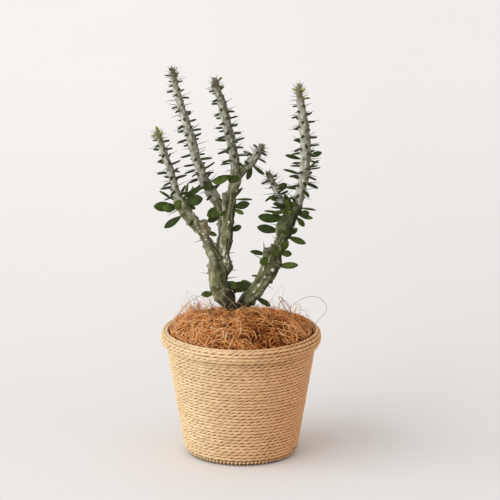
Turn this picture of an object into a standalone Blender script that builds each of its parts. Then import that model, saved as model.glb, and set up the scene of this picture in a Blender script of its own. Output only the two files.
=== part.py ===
"""Alluaudia in a rope basket, at its real size.

A three-armed woody plant with six leafy, spiny shoots stands in a nursery pot of soil under a mound of
coconut fibre. The pot stands in a basket of twisted paper cord laid on a thin moulded shell.

Metres, +Z up. The origin is the middle of the basket's flat underside, and the front faces -Y.
The sizes below are in millimetres and are scaled where meshes are made.
"""

import math
import random
from collections import namedtuple

import bmesh
import bpy
import numpy as np
from mathutils import Matrix, Vector, noise

MM = 0.001
GAP = 0.3

# Basket
FOOT_RADIUS = 62.0
WALL_LEAN = math.radians(9.5)
CORNER_RADIUS = 9.2
CORNER_CENTRE = (62.3, 9.6)
WALL_TOP = 138.7
CORD_DIAMETER = 4.2
SHELL_THICKNESS = 2.0
SHELL_FLOOR = 2.5
SHELL_TOP = 152.0
RIM_CENTRE = (94.4, 149.0)
RIM_HALF_WIDTH = 5.8
RIM_HALF_HEIGHT = 10.0
WALL_RIDGES = 11
RIM_RIDGES = 5
RIDGE_DEPTH = 1.3
BASKET_STEPS = 32

# Nursery pot and soil
POT_FOOT_RADIUS = 57.0
POT_TOP_RADIUS = 77.0
POT_TOP = 137.0
POT_THICKNESS = 1.2
POT_BAND_HEIGHT = 12.0
POT_BAND_WIDTH = 3.0
DRAIN_HOLES = 6
DRAIN_RADIUS = 5.0
DRAIN_CIRCLE = 38.0
POT_STEPS = 24

# Coconut fibre
COIR_TOP = 179.0
COIR_EDGE = 157.0
COIR_REACH = 90.0
COIR_DOME = 3.4
COIR_RINGS = (0, 14, 28, 42, 54, 64, 73, 80, 85, 88.5)
COIR_BUMP = 2.6
COIR_BUMP_SIZE = 11.0
COIR_CALM_EDGE = 12.0
COIR_FIBRES = 21
FIBRE_STEPS = 4
FIBRE_RADIUS = 1.0
FIBRE_SPREAD = 80.0
FIBRE_LIMIT = 84.0

# Plant
SHOOT_SIDES = 1
TRUNK_SIDES = 2
SHOOT_STEP = 10.0
TRUNK_STEP = 7.5
JOINT_LENGTH = 2.0
HOLE_TOP = 215.0
HOLE_FIT = 0.5
AREOLE_STEP = 3.0
SPINE_EVERY = 3
TRUNK_SPINE_STEP = 14.0
GOLDEN_ANGLE = math.radians(137.5)
LEAF_LENGTH = 17.0
LEAF_TAPER = 8.0
LEAF_BREADTH = 0.42
LEAF_THICKNESS = 1.6
SPINE_ABOVE = 1.6
SPINE_RADIUS = 0.6
ROOT_SINK = 1.2
ROOT_SINK_SHARE = 0.15
CLEARANCE = 1.2
BROAD_LEAF = 7.5
LEAF_REACH = 0.6
SIDE_STEPS = tuple(math.radians(angle) for angle in (0, 24, -24, 48, -48))
FIRST_AREOLE = 7.0

# Points along each stem: x, y, z and radius. The left arm starts in the soil and carries the other arms.
LEFT_ARM = (
    (-3, 2, 78, 9.5), (-4, 2, 110, 9.3), (-6, 1, 150, 9), (-8, 1, 173.5, 8.8), (-12.8, 0, 188.5, 9),
    (-18.5, 0, 197, 10.2), (-23.5, 0, 206, 12), (-27, 0, 217, 12.8), (-28, -1, 231.5, 12),
    (-31, -2, 247.5, 9.5), (-40, -5, 267.5, 7.2), (-49, -8, 286.5, 7), (-60, -11, 301.5, 7),
    (-70, -13, 313.5, 7.6), (-75, -14, 322.5, 8), (-77, -14.5, 330.5, 6),
)
MIDDLE_ARM = (
    (-24, 0, 219.5, 9), (-23, 2, 237.5, 9.5), (-21, 3, 259.5, 9), (-20, 4, 277.5, 8.7),
    (-19, 4.5, 292.5, 9.4), (-18, 5, 303.5, 9), (-13, 5.5, 322.5, 7.2), (-10, 6, 338.5, 7),
    (-7, 6, 349.5, 7.6), (-6.5, 5.5, 358.5, 6.4), (-7, 4, 368.5, 5.7),
)
RIGHT_ARM = (
    (-6, 3, 160.5, 8), (-3, 13, 170.5, 8), (1, 17, 181.5, 8.2), (8, 17, 193.5, 8.2),
    (16, 16, 203.5, 7.8), (25, 14, 215.5, 8), (33, 12, 230.5, 10), (38, 11, 243.5, 11.5),
    (41, 10, 253.5, 9), (47, 9, 265.5, 7.4), (52, 9, 277.5, 7.8), (56, 8, 289.5, 9), (61, 8, 301.5, 10),
    (67, 8, 310.5, 8), (70, 7.5, 318.5, 6),
)
TALL_LEFT_ROOT = ((-20, 5, 306.5, 6), (-26, 6, 314.5, 6.5), (-33, 7, 326.5, 7))
SHORT_RIGHT_ROOT = ((-9, 6, 344.5, 5), (-4, 7, 351.5, 5.4), (2, 8, 359, 5.3), (8, 9.5, 365, 5.1))
SMALL_RIGHT_ROOT = ((61, 9, 301.5, 5), (55, 12, 309.5, 5), (50.5, 15, 317.5, 4.6))

FAR_LEFT = (
    (-77, -14.5, 330.5, 6), (-80, -15.5, 340.5, 4.4), (-84, -17, 356.5, 4.3), (-88, -18.5, 370.5, 4.5),
    (-93, -20, 385.5, 4.5), (-97.5, -21.5, 399.5, 4), (-100.5, -22.5, 409.5, 3.3),
    (-103, -24, 421.5, 2),
)
TALL_LEFT = (
    (-33, 7, 326.5, 7), (-41, 8.5, 339.5, 6.8), (-48, 10, 352, 6.4), (-51.5, 11.5, 363, 6.1),
    (-55.5, 13, 375.5, 5.8), (-59, 14.5, 387.5, 5.8), (-62, 16, 400.5, 5.7), (-66, 17.5, 412.5, 5.4),
    (-70, 19, 425.5, 5), (-74, 20.5, 439, 4.5), (-77.5, 22, 451.5, 4.5), (-80.5, 23, 462.5, 4.1),
    (-83, 24, 474.5, 3.8), (-85, 25, 488.5, 2.2),
)
MIDDLE = (
    (-7, 4, 368.5, 5.7), (-9, 2, 381.5, 5.8), (-11, 0, 393.5, 5.9), (-14, -3, 407.5, 6.2),
    (-17.5, -5, 422.5, 6.2), (-21, -7, 438.5, 5.6), (-24, -9, 452.5, 5.2), (-28, -11, 464.5, 4.6),
    (-31, -12, 475.5, 4), (-33, -13, 484.5, 2.3),
)
SHORT_RIGHT = (
    (8, 9.5, 365, 5.1), (13.5, 11, 371.5, 5.3), (19, 12, 379, 5.2),
    (23.5, 13, 386, 4.3), (27.5, 14, 393.5, 2.4),
)
TALL_RIGHT = (
    (70, 7.5, 318.5, 6), (73.5, 5, 332.5, 5.9), (76.5, 2, 346.5, 6.4), (78.5, -1, 359.5, 6.4),
    (79.5, -3, 374.5, 6.3), (79.5, -5, 389.5, 6.5), (79.5, -7, 404.5, 6.3), (78, -9, 418.5, 6.2),
    (76.5, -10.5, 431.5, 5.9), (74.5, -12, 444.5, 5.1), (72.5, -13, 456.5, 4.5),
    (71.5, -14, 467.5, 3.8), (71.5, -14.5, 476.5, 2.3),
)
SMALL_RIGHT = (
    (50.5, 15, 317.5, 4.6), (47, 17, 324.5, 4.2), (44, 19, 331.5, 4), (41, 21, 338, 3.9),
    (38, 22.5, 343.5, 3.8), (35, 24, 349.5, 3.5), (33, 25, 355.5, 2.2),
)

# Cut stumps on the trunk: first point, last point and radius
STUMPS = (
    ((-19, 1, 313.5), (-20.5, -7, 335.5), 3.7),
    ((-42, -6, 271.5), (-46.5, -14, 302.5), 5.6),
    ((32, 8, 243.5), (33, 1, 261.5), 3.6),
    ((38, 8, 249.5), (36.5, 2, 264.5), 2.8),
    ((-8, 6, 189.5), (-9, 9, 205.5), 1.9),
)

# The photograph: millimetres to a pixel, the column of the basket's middle line, the row of its foot's
# middle, and how far the view looks down. It is so far off that the view has no perspective to speak of.
PHOTO_SCALE = 1.242
PHOTO_AXIS = 241.0
PHOTO_FOOT = 452.0
PHOTO_TILT = math.radians(15.5)

# Leaves placed by the photograph: node or arm, root and tip in its pixels, how far the tip lies in front
# of the stem in mm, width in mm, and roll. Roll 0 lays the blade flat, and 90 turns its face to the front.
SEEN_LEAVES = (
    ("left", (174, 208), (154, 206.5), 2, 12.5, 80), ("left", (174, 209), (163.5, 208), 9, 12, 80),
    ("left", (180, 218), (164.5, 228), 2, 9, 76), ("left", (174, 202), (160, 191), 0, 4.5, 25),
    ("left", (180, 206), (178, 204.5), 15, 9, 20), ("left", (186, 198), (202, 187), 2, 8, 60),
    ("left", (187, 201), (203, 199), 6, 14, 84), ("left", (187, 203), (196, 209), 1, 7, 50),
    ("left", (187, 202), (189, 183), 9, 5, 10), ("left", (188, 204), (193, 186), 2, 5, 10),
    ("left", (193, 219), (191.5, 226), 13, 6, 60), ("left", (206, 226), (211, 229), 0, 4, 30),
    ("left", (208, 230), (217, 235.5), 1, 6, 60), ("left", (212, 295), (201, 294.5), 1, 8, 80),
    ("left", (227, 283), (242, 287), 2, 11, 80), ("left", (187, 210), (190, 204), -12, 8, 40),
    ("left", (183, 207), (186, 203), -15, 8, 30), ("left", (197, 228), (192, 224), -15, 8, 30),
    ("left", (212, 250), (208, 246), -16, 9, 30), ("left", (214, 275), (208, 272), -18, 9, 30),
    ("middle", (220, 211), (208.5, 208), 3, 9, 70), ("middle", (220, 214), (208, 219.5), 3, 9, 70),
    ("middle", (224, 211), (221.5, 215), 12, 5, 40), ("middle", (231, 181), (230, 179), 14, 9, 20),
    ("middle", (238, 181), (238, 180), 15, 9, 20), ("middle", (238, 200), (252.5, 200), 1, 5, 12),
    ("middle", (238, 198), (242.5, 187.5), 1, 4.5, 30), ("middle", (236, 208), (249.5, 203.5), 3, 10, 78),
    ("middle", (236, 210), (244, 214), 2, 6, 60), ("middle", (232, 231), (241.5, 226), 2, 8, 74),
    ("middle", (231, 178), (214, 184), 12, 10, 70),
    ("middle", (233, 190), (230, 186), -15, 8, 30), ("middle", (229, 215), (234, 211), -16, 8, 30),
    ("middle", (225, 240), (230, 236), -16, 8, 30),
    ("right", (280, 219), (258, 216.5), 3, 11.5, 80), ("right", (278, 230.5), (257, 227), 2, 11, 80),
    ("right", (281, 217), (270, 217), -3, 9, 60), ("right", (283, 208), (272, 213.5), 5, 6, 50),
    ("right", (280, 210.5), (264, 210.7), 0, 5, 12), ("right", (287, 210), (285.5, 195), 9, 8, 70),
    ("right", (289, 212), (287.5, 200.5), 9, 7, 75), ("right", (296, 210), (293, 206), 14, 7, 60),
    ("right", (301, 209), (316, 209.5), 0, 5, 12), ("right", (300, 215), (309.5, 213), 4, 8, 74),
    ("right", (301, 217.5), (313, 218.5), 1, 6, 70), ("right", (298, 218), (304.5, 226.5), 3, 7, 70),
    ("right", (283, 226), (287.5, 234), 12, 9, 60), ("right", (290, 235), (297.5, 228.5), 3, 8, 76),
    ("right", (291, 238), (306, 243.5), 2, 8, 76), ("right", (282, 251), (286.5, 242), 9, 8, 70),
    ("right", (280, 252), (272, 252.5), 12, 9, 70), ("right", (282, 254.5), (292, 254), 2, 8.5, 76),
    ("right", (268, 259), (261.5, 263), 8, 8, 60), ("right", (265, 254), (250, 251.5), 1, 7, 45),
    ("right", (282, 268), (298.5, 265), 1, 8.5, 80), ("right", (260, 276), (251.5, 276), 0, 4, 10),
    ("right", (252, 285), (237.5, 286), 6, 12, 84), ("right", (251, 283), (241, 281), -2, 6, 60),
    ("right", (254, 298), (254, 306), 9, 8.5, 60), ("right", (259, 301), (271, 306.5), 2, 7, 70),
    ("right", (285, 220), (281, 216), -15, 8, 30), ("right", (283, 240), (288, 236), -16, 8, 30),
    ("right", (268, 270), (272, 265), -17, 9, 30),
    ("shoot_tall_left", (207, 181), (206.5, 186), 13, 12, 60),
    ("shoot_tall_right", (300, 160), (285, 155.5), 2, 6, 45),
    ("shoot_tall_right", (299, 174), (283, 169.5), 2, 5, 20),
    ("shoot_tall_right", (311, 157), (321.5, 153), 2, 7, 70),
    ("shoot_small_right", (276.5, 190), (287, 184), 1, 9, 78),
    ("shoot_small_right", (278, 202), (269, 196.5), 3, 6, 60),
    ("shoot_small_right", (280, 205), (273, 203.5), 4, 5, 60),
)

Stem = namedtuple("Stem", "points arc")


def clear_scene():
    for obj in list(bpy.data.objects):
        bpy.data.objects.remove(obj, do_unlink=True)


def collection(name):
    made = bpy.data.collections.new(name)
    bpy.context.scene.collection.children.link(made)
    return made


def material(name, colour, roughness):
    made = bpy.data.materials.new(name)
    made.use_nodes = True
    shader = made.node_tree.nodes["Principled BSDF"]
    shader.inputs["Base Color"].default_value = (*colour, 1.0)
    shader.inputs["Roughness"].default_value = roughness
    shader.inputs["Metallic"].default_value = 0.0
    return made


def placed(name, mesh, finish, group):
    """A new object that holds the mesh, smooth shaded, in the collection."""
    obj = bpy.data.objects.new(name, mesh)
    if finish:
        mesh.materials.clear()
        mesh.materials.append(finish)
    group.objects.link(obj)
    mesh.shade_smooth()
    mesh.set_sharp_from_angle(angle=math.radians(40))
    return obj


def evaluated_mesh(obj):
    graph = bpy.context.evaluated_depsgraph_get()
    return bpy.data.meshes.new_from_object(obj.evaluated_get(graph))


def apply_modifiers(obj):
    mesh = evaluated_mesh(obj)
    obj.modifiers.clear()
    obj.data = mesh


def turned(name, profile, steps, finish, group):
    """A closed profile of (radius, height) points, turned once round +Z."""
    count = len(profile)
    edges = [(i, i + 1) for i in range(count - 1)]
    if profile[0][0] > 0 or profile[-1][0] > 0:
        edges.append((count - 1, 0))
    mesh = bpy.data.meshes.new(name)
    mesh.from_pydata([(r * MM, 0, z * MM) for r, z in profile], edges, [])
    obj = placed(name, mesh, finish, group)
    screw = obj.modifiers.new("Turn", "SCREW")
    screw.steps = steps
    screw.render_steps = steps
    screw.use_merge_vertices = True
    screw.merge_threshold = 0.00001
    return obj


# Basket


def wall_path(inset):
    """Points down the wall and round its lower corner, `inset` mm inside the face of the cord."""
    radius = CORNER_RADIUS - inset
    across, up = CORNER_CENTRE
    angles = np.linspace(-WALL_LEAN, -math.pi / 2, 5)
    corner = [(across + radius * math.cos(a), up + radius * math.sin(a)) for a in angles]
    top_radius = corner[0][0] + (WALL_TOP - corner[0][1]) * math.tan(WALL_LEAN)
    return [(top_radius, WALL_TOP)] + corner


def ridged(path, ridges, depth):
    """The path read at even steps, crest and groove in turn, grooves sunk `depth` mm to its right."""
    path = np.array(path, float)
    arc = np.r_[0, np.cumsum(np.hypot(*np.diff(path, axis=0).T))]
    where = np.linspace(0, arc[-1], 2 * ridges + 1)
    points = np.column_stack([np.interp(where, arc, path[:, axis]) for axis in (0, 1)])
    ahead = np.gradient(points, axis=0)
    ahead /= np.linalg.norm(ahead, axis=1)[:, None]
    inward = np.column_stack([ahead[:, 1], -ahead[:, 0]])
    points[1::2] += inward[1::2] * depth
    return [tuple(point) for point in points]


def rope_wall(finish, group):
    outside = ridged(wall_path(0), WALL_RIDGES, RIDGE_DEPTH)
    inside = wall_path(CORD_DIAMETER)
    return turned("rope_wall", outside + inside[::-1], BASKET_STEPS, finish, group)


def shell_radius(height, inset):
    """Radius of the wall at a height, `inset` mm inside the face of the cord."""
    top_radius, top = wall_path(inset)[0]
    return top_radius + (height - top) * math.tan(WALL_LEAN)


def rope_rim(finish, group):
    """An oval roll of cord that sits over the top edge of the shell."""
    angles = np.radians(np.linspace(155, -95, 41))
    oval = [
        (RIM_CENTRE[0] + RIM_HALF_WIDTH * math.cos(a), RIM_CENTRE[1] + RIM_HALF_HEIGHT * math.sin(a))
        for a in angles
    ]
    outside = ridged(oval, RIM_RIDGES, RIDGE_DEPTH)
    foot = oval[-1][1]
    top = SHELL_TOP + GAP
    inside = [(shell_radius(foot, CORD_DIAMETER), foot), (shell_radius(top, CORD_DIAMETER), top)]
    return turned("rope_rim", outside + inside, BASKET_STEPS, finish, group)


def basket_shell(finish, group):
    outer_inset = CORD_DIAMETER + GAP
    inner_inset = outer_inset + SHELL_THICKNESS
    outer = wall_path(outer_inset)
    inner = wall_path(inner_inset)
    step_radius = FOOT_RADIUS - SHELL_THICKNESS
    profile = [(shell_radius(SHELL_TOP, outer_inset), SHELL_TOP)] + outer[1:]
    profile += [(FOOT_RADIUS, outer[-1][1]), (FOOT_RADIUS, 0), (0, 0), (0, SHELL_FLOOR)]
    profile += [(step_radius, SHELL_FLOOR), (step_radius, inner[-1][1])] + inner[:0:-1]
    profile += [(shell_radius(SHELL_TOP, inner_inset), SHELL_TOP)]
    start = profile.index((0, 0))
    profile = profile[start + 1 :] + profile[: start + 1]
    return turned("basket_shell", profile, BASKET_STEPS, finish, group)


def pot_radius(height):
    foot = SHELL_FLOOR + GAP
    return POT_FOOT_RADIUS + (POT_TOP_RADIUS - POT_FOOT_RADIUS) * (height - foot) / (POT_TOP - foot)


def nursery_pot(finish, group, cutters):
    foot = SHELL_FLOOR + GAP
    floor = foot + POT_THICKNESS
    band = POT_TOP - POT_BAND_HEIGHT
    profile = [
        (0, floor), (pot_radius(floor) - POT_THICKNESS, floor),
        (pot_radius(POT_TOP) - POT_THICKNESS, POT_TOP),
        (POT_TOP_RADIUS + POT_BAND_WIDTH, POT_TOP), (POT_TOP_RADIUS + POT_BAND_WIDTH, band),
        (pot_radius(band), band), (POT_FOOT_RADIUS, foot), (0, foot),
    ]
    pot = turned("nursery_pot", profile, POT_STEPS, finish, group)
    for index in range(DRAIN_HOLES):
        angle = 2 * math.pi * index / DRAIN_HOLES
        bm = bmesh.new()
        place = Vector((DRAIN_CIRCLE * math.cos(angle), DRAIN_CIRCLE * math.sin(angle), foot)) * MM
        bmesh.ops.create_cone(
            bm, cap_ends=True, segments=10, radius1=DRAIN_RADIUS * MM, radius2=DRAIN_RADIUS * MM,
            depth=10 * MM, matrix=Matrix.Translation(place),
        )
        mesh = bpy.data.meshes.new(f"drain_{index}")
        bm.to_mesh(mesh)
        bm.free()
        cut(pot, helper(f"drain_{index}", mesh, cutters))
    return pot


def helper(name, mesh, group):
    """A cutter: drawn as wire and left out of renders."""
    obj = bpy.data.objects.new(name, mesh)
    obj.display_type = "WIRE"
    obj.hide_render = True
    group.objects.link(obj)
    return obj


def cut(obj, cutter):
    boolean = obj.modifiers.new(cutter.name, "BOOLEAN")
    boolean.operation = "DIFFERENCE"
    boolean.object = cutter


# Stems


def end_direction(points):
    """Unit direction of the last run between two of the points."""
    run = np.subtract(points[-1][:3], points[-2][:3])
    return run / np.linalg.norm(run)


def smooth_path(points, spacing, start=None, end=None):
    """A Catmull-Rom curve through the points, radius included, read about every `spacing` mm.

    Where a start or end direction is given, the curve leaves or arrives straight along it for
    JOINT_LENGTH, so that the cap there is square to it. A start also leaves GAP between this cap and the
    one it faces.
    """
    points = np.array(points, float)
    ends = np.vstack([2 * points[0] - points[1], points, 2 * points[-1] - points[-2]])
    t = np.linspace(0, 1, 16, endpoint=False)[:, None]
    runs = []
    for a, b, c, d in zip(ends, ends[1:], ends[2:], ends[3:]):
        square = 2 * a - 5 * b + 4 * c - d
        cube = 3 * b - a - 3 * c + d
        runs.append(b + 0.5 * ((c - a) * t + square * t**2 + cube * t**3))
    dense = np.vstack(runs + [points[-1:]])
    arc = np.r_[0, np.cumsum(np.linalg.norm(np.diff(dense[:, :3], axis=0), axis=1))]
    where = np.linspace(0, arc[-1], max(3, round(arc[-1] / spacing) + 1))
    read = np.column_stack([np.interp(where, arc, dense[:, axis]) for axis in range(4)])
    if start is not None:
        read[0, :3] += start * GAP
        read = np.insert(read, 1, [*(read[0, :3] + start * JOINT_LENGTH), read[0, 3]], axis=0)
    if end is not None:
        read = np.insert(read, -1, [*(read[-1, :3] - end * JOINT_LENGTH), read[-1, 3]], axis=0)
    runs = np.linalg.norm(np.diff(read[:, :3], axis=0), axis=1)
    return Stem(read, np.r_[0, np.cumsum(runs)])


def at(stem, arc):
    """Position, unit direction and radius at a distance along the stem."""
    here = [np.interp(arc, stem.arc, stem.points[:, axis]) for axis in range(4)]
    ahead = [np.interp(arc + 2, stem.arc, stem.points[:, axis]) for axis in range(3)]
    behind = [np.interp(arc - 2, stem.arc, stem.points[:, axis]) for axis in range(3)]
    return Vector(here[:3]), (Vector(ahead) - Vector(behind)).normalized(), here[3]


def tube(name, points, sides, finish, group, extra=0.0):
    """A closed tube along the points, as a mesh with its caps welded."""
    curve = bpy.data.curves.new(name, "CURVE")
    curve.dimensions = "3D"
    curve.bevel_depth = MM
    curve.bevel_resolution = sides
    curve.use_fill_caps = True
    spline = curve.splines.new("POLY")
    spline.points.add(len(points) - 1)
    for point, (x, y, z, radius) in zip(spline.points, points):
        point.co = (x * MM, y * MM, z * MM, 1)
        point.radius = radius + extra
    guide = bpy.data.objects.new(name + "_curve", curve)
    group.objects.link(guide)
    mesh = evaluated_mesh(guide)
    bpy.data.objects.remove(guide, do_unlink=True)
    bpy.data.curves.remove(curve)
    bm = bmesh.new()
    bm.from_mesh(mesh)
    bmesh.ops.remove_doubles(bm, verts=bm.verts, dist=0.000001)
    bmesh.ops.recalc_face_normals(bm, faces=bm.faces)
    bm.to_mesh(mesh)
    bm.free()
    mesh.name = name
    return placed(name, mesh, finish, group)


# Leaves and spines


def square_to(axis, vector):
    """The part of a vector that is square to an axis, as a unit vector."""
    return (vector - vector.dot(axis) * axis).normalized()


def standing(along, normal, root):
    """A matrix whose x axis runs along a leaf and whose z axis is the normal of its blade."""
    turn = Matrix((along, normal.cross(along), normal)).transposed().to_4x4()
    return Matrix.Translation(root * MM) @ turn


def stance(stem, arc, azimuth, rise, roll):
    """How a leaf or spine stands on a stem, its rise measured from square to it, and its root's depth."""
    centre, direction, radius = at(stem, arc)
    sink = ROOT_SINK + ROOT_SINK_SHARE * radius
    out = square_to(direction, Vector((math.cos(azimuth), math.sin(azimuth), 0)))
    along = math.cos(rise) * out + math.sin(rise) * direction
    normal = Matrix.Rotation(roll, 3, along) @ square_to(along, direction)
    return standing(along, normal, centre + out * (radius - sink)), sink


def from_photo(column, row, depth):
    """The point behind a pixel of the photograph, `depth` mm along +Y."""
    up = (PHOTO_FOOT - row) * PHOTO_SCALE
    height = (up - depth * math.sin(PHOTO_TILT)) / math.cos(PHOTO_TILT)
    return Vector(((column - PHOTO_AXIS) * PHOTO_SCALE, depth, height))


def arc_near(stem, column, row):
    """The distance along a stem where its middle line, as seen, passes nearest to a pixel."""
    arcs = np.linspace(0, stem.arc[-1], 400)
    x, y, z = (np.interp(arcs, stem.arc, stem.points[:, axis]) for axis in range(3))
    up = z * math.cos(PHOTO_TILT) + y * math.sin(PHOTO_TILT)
    across = x - (column - PHOTO_AXIS) * PHOTO_SCALE
    above = up - (PHOTO_FOOT - row) * PHOTO_SCALE
    return float(arcs[np.argmin(np.hypot(across, above))])


def seen_stance(stem, root, tip, forward, roll):
    """How a leaf of SEEN_LEAVES stands, the depth of its root in the bark and its full length."""
    centre, direction, radius = at(stem, arc_near(stem, *root))
    sink = ROOT_SINK + ROOT_SINK_SHARE * radius
    end = from_photo(*tip, centre.y - forward)
    start = centre + square_to(direction, end - centre) * (radius - sink)
    along = (end - start).normalized()
    up = square_to(along, Vector((0, 0, 1)))
    front = along.cross(up)
    if front.y > 0:
        front = -front
    normal = math.cos(roll) * up + math.sin(roll) * front
    return standing(along, normal, start), (end - start).length


def leaf_mesh(name, length, width, sides):
    """A lens with an egg-shaped outline, widest past its middle, its root at the origin."""
    bm = bmesh.new()
    bmesh.ops.create_uvsphere(bm, u_segments=sides, v_segments=2, radius=1.0)
    bmesh.ops.rotate(bm, verts=bm.verts, matrix=Matrix.Rotation(math.pi / sides, 3, "Z"))
    for vert in bm.verts:
        along = (vert.co.x + 1) / 2
        if abs(vert.co.z) > 0.5:
            along = 0.55
        swell = 0.72 + 0.5 * along
        droop = 0.08 * length * along * along
        vert.co = Vector((
            along * length, vert.co.y * swell * width / 2, vert.co.z * LEAF_THICKNESS / 2 - droop
        )) * MM
    mesh = bpy.data.meshes.new(name)
    bm.to_mesh(mesh)
    bm.free()
    return mesh


def spine_mesh(name, length):
    """A three-sided needle that lies along +X."""
    bm = bmesh.new()
    depth = length * MM
    lay = Matrix.Translation((depth / 2, 0, 0)) @ Matrix.Rotation(math.pi / 2, 4, "Y")
    bmesh.ops.create_cone(
        bm, cap_ends=True, segments=3, radius1=SPINE_RADIUS * MM, radius2=0, depth=depth, matrix=lay
    )
    mesh = bpy.data.meshes.new(name)
    bm.to_mesh(mesh)
    bm.free()
    return mesh


class Room:
    """Remembers the space that each node takes, so that a leaf can be kept out of its neighbours."""

    def __init__(self):
        self.points = np.empty((0, 3))
        self.reach = np.empty(0)
        self.owner = np.empty(0, int)
        self.names = []

    def add(self, name, points, reach):
        if name not in self.names:
            self.names.append(name)
        self.points = np.vstack([self.points, points])
        self.reach = np.r_[self.reach, np.broadcast_to(reach, len(points))]
        self.owner = np.r_[self.owner, np.full(len(points), self.names.index(name))]

    def is_free(self, name, points, reach):
        own = self.names.index(name) if name in self.names else -1
        others = self.owner != own
        apart = np.linalg.norm(points[:, None] - self.points[None, others], axis=2)
        return bool((apart > self.reach[others] + reach + CLEARANCE).all())


def blade_samples(pose, length, width):
    """Points over a blade, in mm, for Room."""
    grid = [
        pose @ Vector((u * length * MM, v * width / 2 * MM, 0))
        for u in np.linspace(0.25, 1, 6)
        for v in (-0.8, 0, 0.8)
    ]
    return np.array(grid) / MM


def add_part(label, mesh, pose, group):
    obj = bpy.data.objects.new(label, mesh)
    obj.matrix_world = pose
    group.objects.link(obj)


def add_leaf(node, label, pose, length, width, room, group):
    """Adds a leaf to a node where there is room for it, and says whether there was."""
    samples = blade_samples(pose, length, width)
    free = room.is_free(node, samples, LEAF_REACH)
    if free:
        room.add(node, samples, LEAF_REACH)
        mesh = leaf_mesh(label, length, width, 8 if width > BROAD_LEAF else 6)
        add_part(label, mesh, pose, group)
    return free


def add_spine(node, label, pose, length, room, group):
    """Adds a spine to a node where there is room for it."""
    samples = blade_samples(pose, length, 2 * SPINE_RADIUS)
    if room.is_free(node, samples, SPINE_RADIUS):
        room.add(node, samples, SPINE_RADIUS)
        add_part(label, spine_mesh(label, length), pose, group)


def add_seen_leaves(node, stems, room, group):
    """Adds the leaves of SEEN_LEAVES that grow on any of the named stems."""
    for index, (name, root, tip, forward, width, roll) in enumerate(SEEN_LEAVES):
        if name in stems:
            pose, length = seen_stance(stems[name], root, tip, forward, math.radians(roll))
            add_leaf(node, f"{node}_seen_{index}", pose, length, width, room, group)


def fuse(obj, group):
    """Joins a collection's objects to this one, and removes them."""
    boolean = obj.modifiers.new("Fuse", "BOOLEAN")
    boolean.operation = "UNION"
    boolean.operand_type = "COLLECTION"
    boolean.collection = group
    boolean.solver = "MANIFOLD"
    bpy.context.view_layer.update()
    apply_modifiers(obj)
    for other in list(group.objects):
        bpy.data.objects.remove(other, do_unlink=True)
    bpy.data.collections.remove(group)
    obj.data.shade_smooth()
    obj.data.set_sharp_from_angle(angle=math.radians(40))


def shoot(name, points, carrier, seed, finish, group, room):
    """One leafy stem: leaves at the golden angle up the stem, and a spine over every few of them."""
    draw = random.Random(seed)
    stem = smooth_path(points, SHOOT_STEP, start=end_direction(carrier))
    body = tube(name, stem.points, SHOOT_SIDES, finish, group)
    parts = collection(name + "_parts")
    add_seen_leaves(name, {name: stem}, room, parts)
    length = stem.arc[-1]
    for index in range(int((length - FIRST_AREOLE) / AREOLE_STEP)):
        arc = FIRST_AREOLE + index * AREOLE_STEP
        young = arc / length
        azimuth = seed + index * GOLDEN_ANGLE + draw.uniform(-0.2, 0.2)
        size = (LEAF_LENGTH - LEAF_TAPER * young) * draw.uniform(0.75, 1.1)
        width = LEAF_BREADTH * size
        rise = math.radians(draw.uniform(8, 26) + 30 * max(0, young - 0.85) / 0.15)
        roll = math.radians(draw.uniform(-25, 25))
        for turn in SIDE_STEPS:
            pose, sink = stance(stem, arc, azimuth + turn, rise, roll)
            if add_leaf(name, f"{name}_leaf_{index}", pose, size + sink, width, room, parts):
                break
        if index % SPINE_EVERY == 0:
            rise = math.radians(draw.uniform(2, 14) + 45 * max(0, young - 0.85) / 0.15)
            pose, sink = stance(stem, arc + SPINE_ABOVE, azimuth, rise, 0)
            add_spine(name, f"{name}_spine_{index}", pose, draw.uniform(12, 17) + sink, room, parts)
    fuse(body, parts)
    return body


def arc_at_height(stem, height):
    return float(np.interp(height, stem.points[:, 2], stem.arc))


def woody_arm(points):
    return smooth_path(points, TRUNK_STEP, end=end_direction(points))


def trunk(finish, group, room):
    """The three woody arms with their stumps, leaf clusters and a few spines."""
    arms = {"left": woody_arm(LEFT_ARM), "middle": woody_arm(MIDDLE_ARM), "right": woody_arm(RIGHT_ARM)}
    parts = collection("trunk_parts")
    body = tube("trunk", arms["left"].points, TRUNK_SIDES, finish, group)
    tube("trunk_middle", arms["middle"].points, TRUNK_SIDES, None, parts)
    tube("trunk_right", arms["right"].points, TRUNK_SIDES, None, parts)
    for index, root in enumerate((TALL_LEFT_ROOT, SHORT_RIGHT_ROOT, SMALL_RIGHT_ROOT)):
        points = smooth_path(root, TRUNK_STEP, end=end_direction(root)).points
        tube(f"trunk_root_{index}", points, SHOOT_SIDES, None, parts)
    for index, (first, last, radius) in enumerate(STUMPS):
        tube(f"trunk_stump_{index}", [(*first, radius), (*last, radius * 0.9)], SHOOT_SIDES, None, parts)
    add_seen_leaves("trunk", arms, room, parts)
    draw = random.Random(11)
    for arm, first in (("left", 200), ("middle", 250), ("right", 200)):
        stem = arms[arm]
        start = arc_at_height(stem, first)
        for index in range(int((stem.arc[-1] - start) / TRUNK_SPINE_STEP)):
            arc = start + index * TRUNK_SPINE_STEP
            azimuth = index * GOLDEN_ANGLE + draw.uniform(-0.3, 0.3)
            pose, sink = stance(stem, arc, azimuth, math.radians(draw.uniform(-6, 12)), 0)
            length = draw.uniform(9, 14) + sink
            add_spine("trunk", f"trunk_{arm}_spine_{index}", pose, length, room, parts)
    fuse(body, parts)
    return body


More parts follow.
